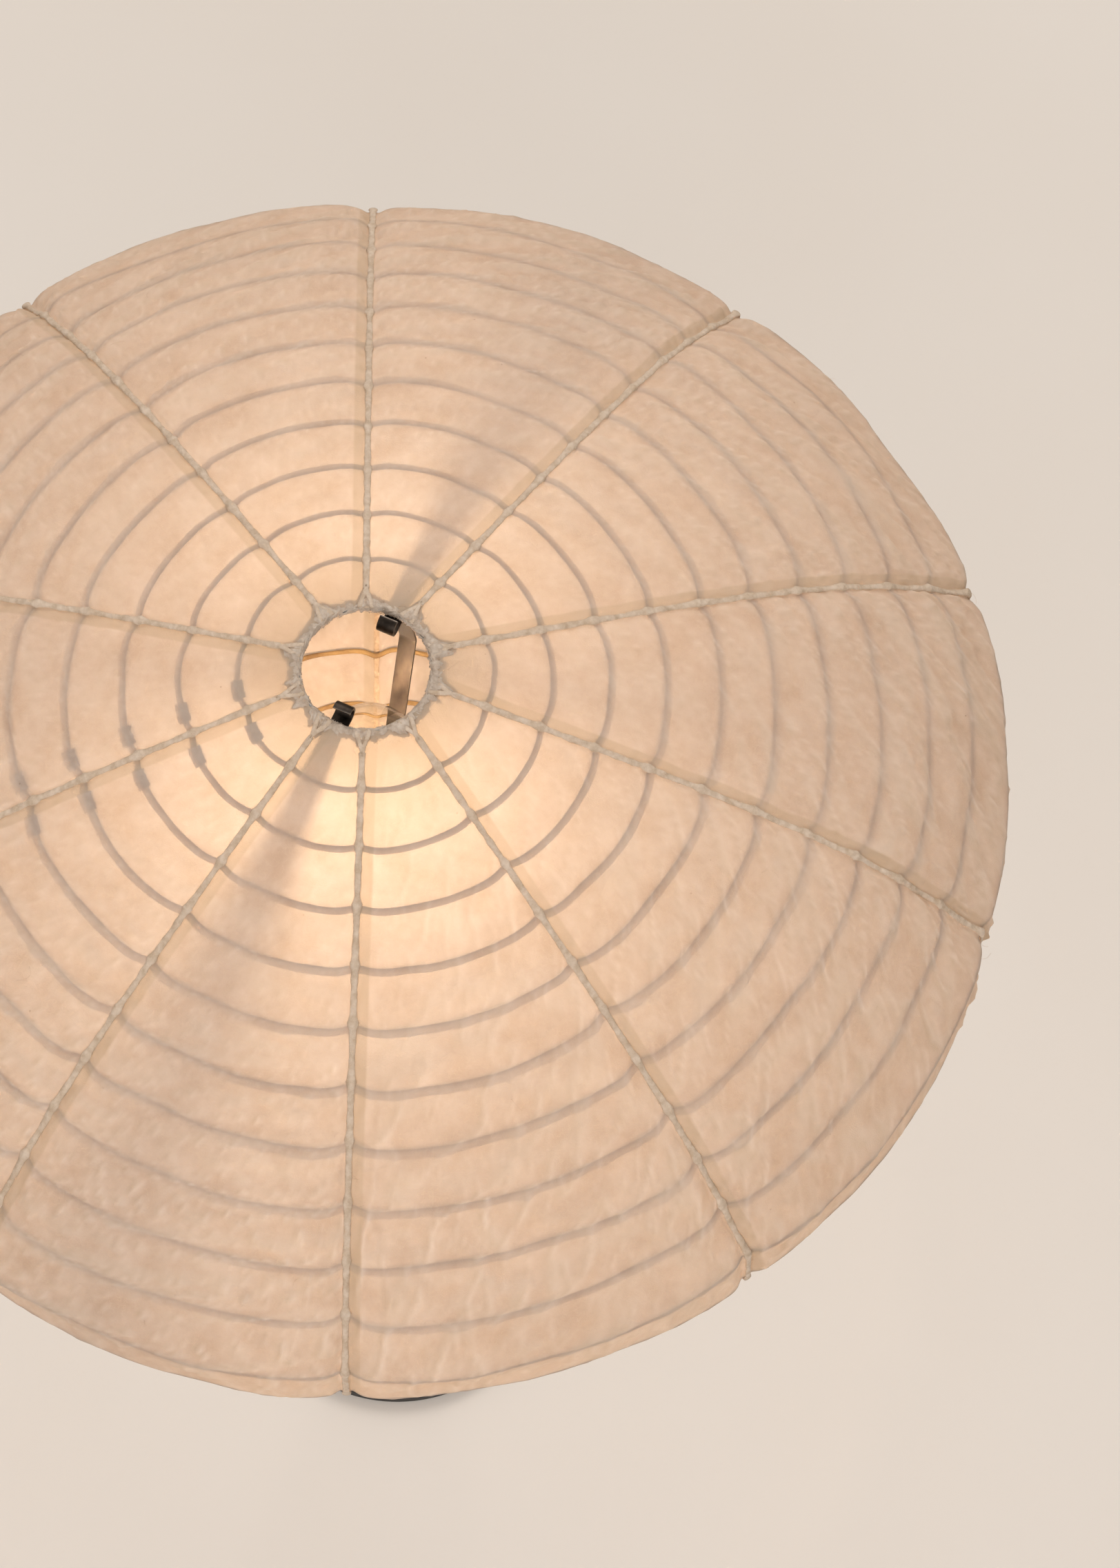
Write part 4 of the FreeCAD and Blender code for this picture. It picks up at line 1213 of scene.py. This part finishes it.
@dataclass
class Bulb:
    """A clear globe with a screw cap and a glowing coil on a glass stem."""

    wall: float = 0.7 * MM
    neck: float = 12 * MM
    ball_end: float = 118
    leave: float = 34 * MM
    arrive: float = 30 * MM
    cap_wall: float = 0.9 * MM
    pitch: float = 3.63 * MM
    thread_depth: float = 0.28 * MM
    cup: tuple[tuple[float, float], ...] = ((0, 0), (4.6, 0), (9, 1.2), (11.9, 2.6), (12.2, 3.4))
    coil_radius: float = 0.8 * MM
    coil_wire: float = 0.2 * MM
    coil_turns: int = 46
    lead_wire: float = 0.25 * MM
    stem: tuple[tuple[float, float], ...] = (
        (0, 44), (2.4, 43.2), (3.2, 40.5), (2.6, 34), (2.8, 20), (5.5, 8), (9.5, 0)
    )

    def glass_outline(self) -> Grid:
        """A ball down to its end angle from the top, then a cubic curve that meets the neck upright."""
        low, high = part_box("bulb_glass")
        radius = high.x
        angle = np.linspace(0, math.radians(self.ball_end), 34)
        ball = np.stack([radius * np.sin(angle), high.z - radius + radius * np.cos(angle)], axis=1)
        share = np.linspace(0, 1, 18)[1:, None]
        start, end = ball[-1], np.array([self.neck, low.z + 7 * MM])
        leave = self.leave * np.array([math.cos(angle[-1]), -math.sin(angle[-1])])
        arrive = self.arrive * np.array([0.0, -1.0])
        curve = (1 + 2 * share) * (1 - share) ** 2 * start + share * (1 - share) ** 2 * leave
        curve = curve + share**2 * (3 - 2 * share) * end + share**2 * (share - 1) * arrive
        return np.concatenate([ball, curve, [(self.neck, low.z)]])

    def add_clear(self, name: str, patches: list[Patch], finish: Finish, slot: str, *nodes: str) -> None:
        """Adds a piece of the bulb that casts no shadow, so that the lamp's light gets out."""
        add_piece(name, patches, [finish], "bulb", slot, *nodes).visible_shadow = False

    def make_glass(self) -> None:
        """The globe, with an outer and an inner wall."""
        outer = self.glass_outline()
        ahead = unit(np.gradient(outer, axis=0))
        inner = outer + self.wall * np.stack([ahead[:, 1], -ahead[:, 0]], axis=1)
        inner[0, 0] = 0.0
        shell = lathe(np.concatenate([outer, inner[::-1]]), 96, closed=False)
        self.add_clear("blown_globe", [shell], GLASS, "bulb_glass", "bulb_glass")

    def make_cap(self) -> None:
        """The rolled screw cap over its dark glass insulator."""
        low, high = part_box("bulb_cap")
        outer, inner = high.x, high.x - self.cap_wall
        start, end = low.z + 3 * MM, high.z - 2 * MM
        shell = threaded_tube(outer - 0.3 * MM, inner, start, end, self.thread_depth, self.pitch)
        collar = lathe(tube_outline(outer, inner, high.z - 2.2 * MM, high.z, 0.3 * MM))
        insulator = lathe(np.array(self.cup) * MM + (0, low.z), 64, closed=False, material=1)
        patches = [shell, collar, insulator]
        finishes = [CAP_METAL, BAKELITE]
        add_piece("rolled_screw_cap", patches, finishes, "bulb", "bulb_metal", "bulb_cap", even=True)
        wear("bulb_contact", BRASS)

    def make_filament(self) -> None:
        """A fine coil bent into a ring, two lead wires and the glass stem that holds them.

        The coil's centre runs round the ring while its own small circle turns many times.
        """
        low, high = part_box("bulb_filament")
        ring, level = high.x - self.coil_radius, high.z - self.coil_radius
        turn = np.linspace(0.06, TURN - 0.06, self.coil_turns * 12)
        small, loop = turn * self.coil_turns, self.coil_radius - self.coil_wire
        reach, rise = ring + loop * np.cos(small), level + loop * np.sin(small)
        line = np.stack([reach * np.cos(turn), reach * np.sin(turn), rise], 1)
        coil = sweep(line, round_section(self.coil_wire, 5), (0, 0, 1))
        add_piece("filament_coil", [coil], [FILAMENT], "bulb", "light_source", "bulb_filament")
        wires = []
        for side in (-1, 1):
            span = ring / MM
            corners = np.array([(2, 0, -34), (2.5, 0, -14), (span - 1, 0, -2), (span, side * 0.8, 0)])
            route = rounded_route(corners * MM, [6 * MM, 2 * MM], 6) + np.array([0, 0, level])
            route[:, 0] *= side
            wires.append(sweep(route, round_section(self.lead_wire, 6), (0, 1, 0)))
        self.add_clear("filament_leads", wires, ZINC, "bulb_metal")
        bottom = low.z + 1 * MM
        bends = [1 * MM, 1 * MM, 6 * MM, 8 * MM, 6 * MM]
        outline = rounded_route(np.array(self.stem) * MM + (0, bottom), bends, 6)
        post = lathe(np.concatenate([outline, [(0.0, bottom)]]), 32, closed=False)
        self.add_clear("glass_stem", [post], GLASS, "bulb_glass")


@dataclass
class LampHolder:
    """A moulded screw holder: ribbed cup and shell, brass sleeve, ceramic core and contact."""

    wall: float = 2 * MM
    hole: float = 5.05 * MM
    floor: float = 3 * MM
    ribs: int = 40
    rib_depth: float = 0.45 * MM
    pitch: float = 3.63 * MM
    cup_edges: tuple[float, ...] = (0.3, 0.3, 1.8, 0.5, 0.4, 0.3, 0.3, 0.3)
    shell_edges: tuple[float, ...] = (1.2, 0.3, 0.5, 2.4)

    def ribbed(self, outline: Grid, low: float, high: float) -> Patch:
        """A turned shape whose outside is fluted between two heights by a cosine of the turn."""
        sides = self.ribs * 8
        outside = outline[:, 0] > outline[:, 0].max() - 0.2 * MM
        ease = smooth((outline[:, 1] - low) / (1.5 * MM)) * smooth((high - outline[:, 1]) / (1.5 * MM))
        flute = (0.5 - 0.5 * np.cos(self.ribs * circle(sides))) ** 0.6
        return lathe(outline, sides, -self.rib_depth * (outside * ease)[:, None] * flute)

    def dense(self, outline: Grid, step: float = 1.2 * MM) -> Grid:
        """The closed outline with extra points on its long sides."""
        after = np.roll(outline, -1, axis=0)
        counts = np.maximum(1, (np.linalg.norm(after - outline, axis=1) / step).astype(int))
        runs = zip(outline, after, counts)
        return np.concatenate([start + (end - start) * np.arange(n)[:, None] / n for start, end, n in runs])

    def make(self) -> None:
        """Each piece of the holder."""
        low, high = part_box("holder_cup")
        core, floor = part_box("holder_core")[0].z, low.z + self.floor
        outer, mouth, seat = high.x, high.x - self.wall, high.x - 3 * self.wall
        sleeve_low, sleeve_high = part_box("holder_sleeve")
        shell_low, shell_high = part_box("holder_shell")
        inner = sleeve_high.x
        cup = [
            (self.hole, floor), (self.hole, low.z), (outer, low.z), (outer, high.z), (mouth, high.z),
            (mouth, core), (seat, core), (seat, floor),
        ]
        shell = [(inner, shell_high.z), (inner, shell_low.z), (outer, shell_low.z), (outer, shell_high.z)]
        for name, corners, edges, start, end in (
            ("cup", cup, self.cup_edges, low.z + 4 * MM, high.z - 3 * MM),
            ("shell", shell, self.shell_edges, shell_low.z + 2 * MM, shell_high.z - 5 * MM),
        ):
            outline = self.dense(rounded_outline(corners, [edge * MM for edge in edges]))
            patches = [self.ribbed(outline, start, end)]
            add_piece(f"ribbed_{name}", patches, [BAKELITE], "stand", "bakelite", f"holder_{name}", even=True)
        outside, inside = inner - 0.25 * MM, inner - 0.65 * MM
        sleeve = threaded_tube(outside, inside, sleeve_low.z, sleeve_high.z, 0.2 * MM, self.pitch)
        add_piece("rolled_sleeve", [sleeve], [BRASS], "stand", "brass", "holder_sleeve", even=True)
        wear("holder_core", PORCELAIN)
        wear("holder_contact", BRASS)


@dataclass
class Stand:
    """The plate under the holder, its nuts, the stem, the collar and the weighted base."""

    bore: float = 6.55 * MM
    nipple: float = 5.05 * MM
    lock_flats: float = 14 * MM
    lock_height: float = 4 * MM
    foot_flats: float = 20 * MM
    gland_bore: float = 3.3 * MM
    grip_depth: float = 0.25 * MM
    grips: int = 12

    def tube(self, node: str, bore: float, edge: float, sides: int = 96) -> Patch:
        """A turned tube that fills a CAD node's box."""
        low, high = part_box(node)
        return lathe(tube_outline(high.x, bore, low.z, high.z, edge), sides)

    def nut(self, low: float, high: float, flats: float, bore: float) -> Patch:
        """A nut between two heights."""
        return hex_nut(flats, bore, low, high)

    def make(self) -> None:
        """Each piece of the stand."""
        low, high = (corner.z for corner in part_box("lock_nuts"))
        pairs = ((low, low + self.lock_height), (high - self.lock_height, high))
        nuts = [self.nut(*pair, self.lock_flats, self.nipple) for pair in pairs]
        foot = self.nut(*(corner.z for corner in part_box("stem_nut")), self.foot_flats, self.bore)
        plate = self.tube("holder_plate", self.nipple, 0.5 * MM)
        stem = self.tube("stem", self.nipple, 0.5 * MM, 64)
        collar = self.tube("spreader_collar", self.bore, 1.0 * MM)
        for name, patches, look, slot, node in (
            ("turned_plate", [plate], ZINC, "fastener_steel", "holder_plate"),
            ("chamfered_lock_nuts", nuts, ZINC, "fastener_steel", "lock_nuts"),
            ("chamfered_stem_nut", [foot], ZINC, "fastener_steel", "stem_nut"),
            ("coated_stem", [stem], POWDER_COAT, "black_paint", "stem"),
            ("turned_collar", [collar], BRASS, "brass", "spreader_collar"),
            ("socket_screw", [self.screw()], ZINC, "fastener_steel", "collar_screw"),
            ("gripped_gland", [self.gland()], NYLON, "nylon", "cord_gland"),
        ):
            add_piece(name, patches, [look], "stand", slot, node, even=True)
        for node, look in (("base_disc", POWDER_COAT), ("base_felt", FELT), ("nipple", ZINC)):
            wear(node, look)

    def screw(self) -> Patch:
        """A grub screw with a round socket, lying towards the back."""
        low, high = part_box("collar_screw")
        radius, length = high.x, high.y - low.y
        socket, floor = 0.55 * radius, length * 0.6
        corners = [(0, 0), (radius, 0), (radius, length), (socket, length), (socket, floor), (0, floor)]
        outline = rounded_route(np.array(corners), [0.3 * MM, 0.3 * MM, 0.1 * MM, 0.1 * MM], 4)
        patch = lathe(outline, 48, closed=False)
        patch.points = lying(patch.points, np.array([0, low.y, (low.z + high.z) / 2]))
        return patch

    def gland(self) -> Patch:
        """The cord gland: a flange, a gripped barrel and a domed mouth, lying towards the back.

        The grips are dents in the barrel, as deep as a cosine of the turn.
        """
        low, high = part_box("cord_gland")
        radius, length, bore = high.x, high.y - low.y, self.gland_bore
        neck, mouth = radius * 0.88, radius * 0.84
        corners = [
            (bore, 0), (radius, 0), (radius, 2 * MM), (neck, 2.2 * MM), (neck, 4 * MM), (radius, 4.4 * MM),
            (radius, length - 3 * MM), (mouth, length), (bore, length),
        ]
        edges = [edge * MM for edge in (0.2, 0.4, 0.2, 0.2, 0.2, 0.4, 2, 0.4, 0.4)]
        outline = rounded_outline(corners, edges)
        sides = 96
        reach, along = outline[:, 0], outline[:, 1]
        barrel = (along > 5 * MM) & (along < length - 4 * MM) & (reach > radius * 0.95)
        dents = 0.5 - 0.5 * np.cos(self.grips * circle(sides))
        patch = lathe(outline, sides, -self.grip_depth * barrel[:, None] * dents)
        patch.points = lying(patch.points, np.array([0, low.y, (low.z + high.z) / 2]))
        return patch


@dataclass
class Studio:
    """A pale floor, soft lights and the camera.

    Attributes:
        aside: how far the aim lies right of and above the view's middle, and ahead of it, in units.
        unit_length: the unit, which is the shade's radius.
        aim: the height the camera is set out from.
    """

    lens: float = 94.99
    elevation: float = 67.15
    roll: float = -2.94
    aside: tuple[float, float, float] = (-0.298, 0.038, 6.52)
    unit_length: float = 0.38
    aim: float = 1.049
    lamp_power: float = 0.5
    back_share: float = 0.52
    side_share: float = 0.1
    down_share: float = 0.8
    lamp_size: float = 14 * MM
    lamp_drop: float = 0.8 * MM
    lamp_hex: str = "#FFDDBA"
    softbox_size: float = 1.8
    softbox_aim: tuple[float, float, float] = (0, 0, 1.0)
    floor_half: float = 9.0
    air_hex: str = "#FFF7F0"
    air_strength: float = 0.5

    def make_camera(self) -> None:
        """The camera looks down at the shade, a little rolled, with the shade's axis left of its middle."""
        tilt, roll = math.radians(self.elevation), math.radians(self.roll)
        right = Vector((1, 0, 0))
        ahead = Vector((0, math.cos(tilt), -math.sin(tilt)))
        up = Vector((0, math.sin(tilt), math.cos(tilt)))
        across = math.cos(roll) * right - math.sin(roll) * up
        upright = math.sin(roll) * right + math.cos(roll) * up
        x_shift, y_shift, distance = self.aside
        shift = x_shift * across + y_shift * upright + distance * ahead
        place = Vector((0, 0, self.aim)) - self.unit_length * shift
        data = bpy.data.cameras.new("camera")
        data.lens = self.lens
        data.sensor_width = 36
        camera = bpy.data.objects.new("camera", data)
        bpy.context.scene.collection.objects.link(camera)
        rows = [(across[way], upright[way], -ahead[way], place[way]) for way in range(3)]
        camera.matrix_world = Matrix((*rows, (0, 0, 0, 1)))
        bpy.context.scene.camera = camera

    def add_light(self, name: str, shape: str, place: Vector, way: Vector, size: float, power: float,
                  colour: str) -> bpy.types.Object:
        """Adds a flat soft light.

        Args:
            name: its name.
            shape: the area light's shape.
            place: where it is.
            way: which way it shines.
            size: its width.
            power: in watts.
            colour: as a hex code.

        Returns:
            The light, which the camera doesn't see.
        """
        data = bpy.data.lights.new(name, "AREA")
        data.shape = shape
        data.size = size
        data.energy = power
        data.color = linear(colour)[:3]
        light = bpy.data.objects.new(name, data)
        bpy.context.scene.collection.objects.link(light)
        light.matrix_world = Matrix.Translation(place) @ way.to_track_quat("-Z", "Y").to_matrix().to_4x4()
        light.visible_camera = False
        return light

    def make_lamp(self) -> None:
        """The filament's light: small discs that face outwards and down, so that little goes straight up."""
        place = Vector((0, 0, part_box("bulb_filament")[1].z - self.lamp_drop))
        for name, way, share in (
            ("front", (0, -1, 0), 1.0),
            ("right", (1, 0, 0), self.side_share),
            ("back", (0, 1, 0), self.back_share),
            ("left", (-1, 0, 0), self.side_share),
            ("down", (0, 0, -1), self.down_share),
        ):
            power = self.lamp_power * share
            light = self.add_light(
                f"lamp_{name}", "DISK", place, Vector(way), self.lamp_size, power, self.lamp_hex
            )
            light.visible_glossy = False
            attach(light, "bulb")

    def make(self) -> None:
        """Floor, lights, world and camera."""
        half = self.floor_half
        corners = [[(side * half, end * half, 0) for side in (-1, 1)] for end in (-1, 1)]
        make_mesh("floor", [Patch(np.array(corners, float))], [FLOOR])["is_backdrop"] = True
        for name, place, power, colour in (
            ("back_light", (0.1, 2.2, 2.9), 36, "#FFF5EC"),
            ("front_light", (-0.1, -2.2, 2.8), 33, "#FFF7F2"),
        ):
            way = Vector(self.softbox_aim) - Vector(place)
            self.add_light(name, "SQUARE", Vector(place), way, self.softbox_size, power, colour)
        world = bpy.data.worlds.new("studio_air")
        world.use_nodes = True
        air = world.node_tree.nodes["Background"].inputs
        air["Color"].default_value = linear(self.air_hex)
        air["Strength"].default_value = self.air_strength
        bpy.context.scene.world = world
        bpy.context.scene.view_settings.view_transform = "Standard"
        self.make_camera()
        self.make_lamp()


def main() -> list[list[float]]:
    """Builds the lantern's looks around its frame, and returns the frame's box."""
    logging.basicConfig(level=logging.INFO, format="%(message)s")
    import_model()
    cad_box = [list(corner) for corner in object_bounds()]
    Studio().make()
    shade = Shade()
    shade.make_paper()
    shade.make_threads()
    shade.make_hoops()
    Binding(shade, 0, "top").make("shade_top")
    Binding(shade, len(shade.names) - 1, "bottom", gusset=4 * MM, seed=8).make("shade_foot")
    Hairs(shade).make()
    straps = Straps()
    straps.make()
    straps.make_rivets()
    straps.make_spreader()
    bulb = Bulb()
    bulb.make_glass()
    bulb.make_cap()
    bulb.make_filament()
    LampHolder().make()
    Stand().make()
    return cad_box


if __name__ == "__main__":
    cad_box = main()
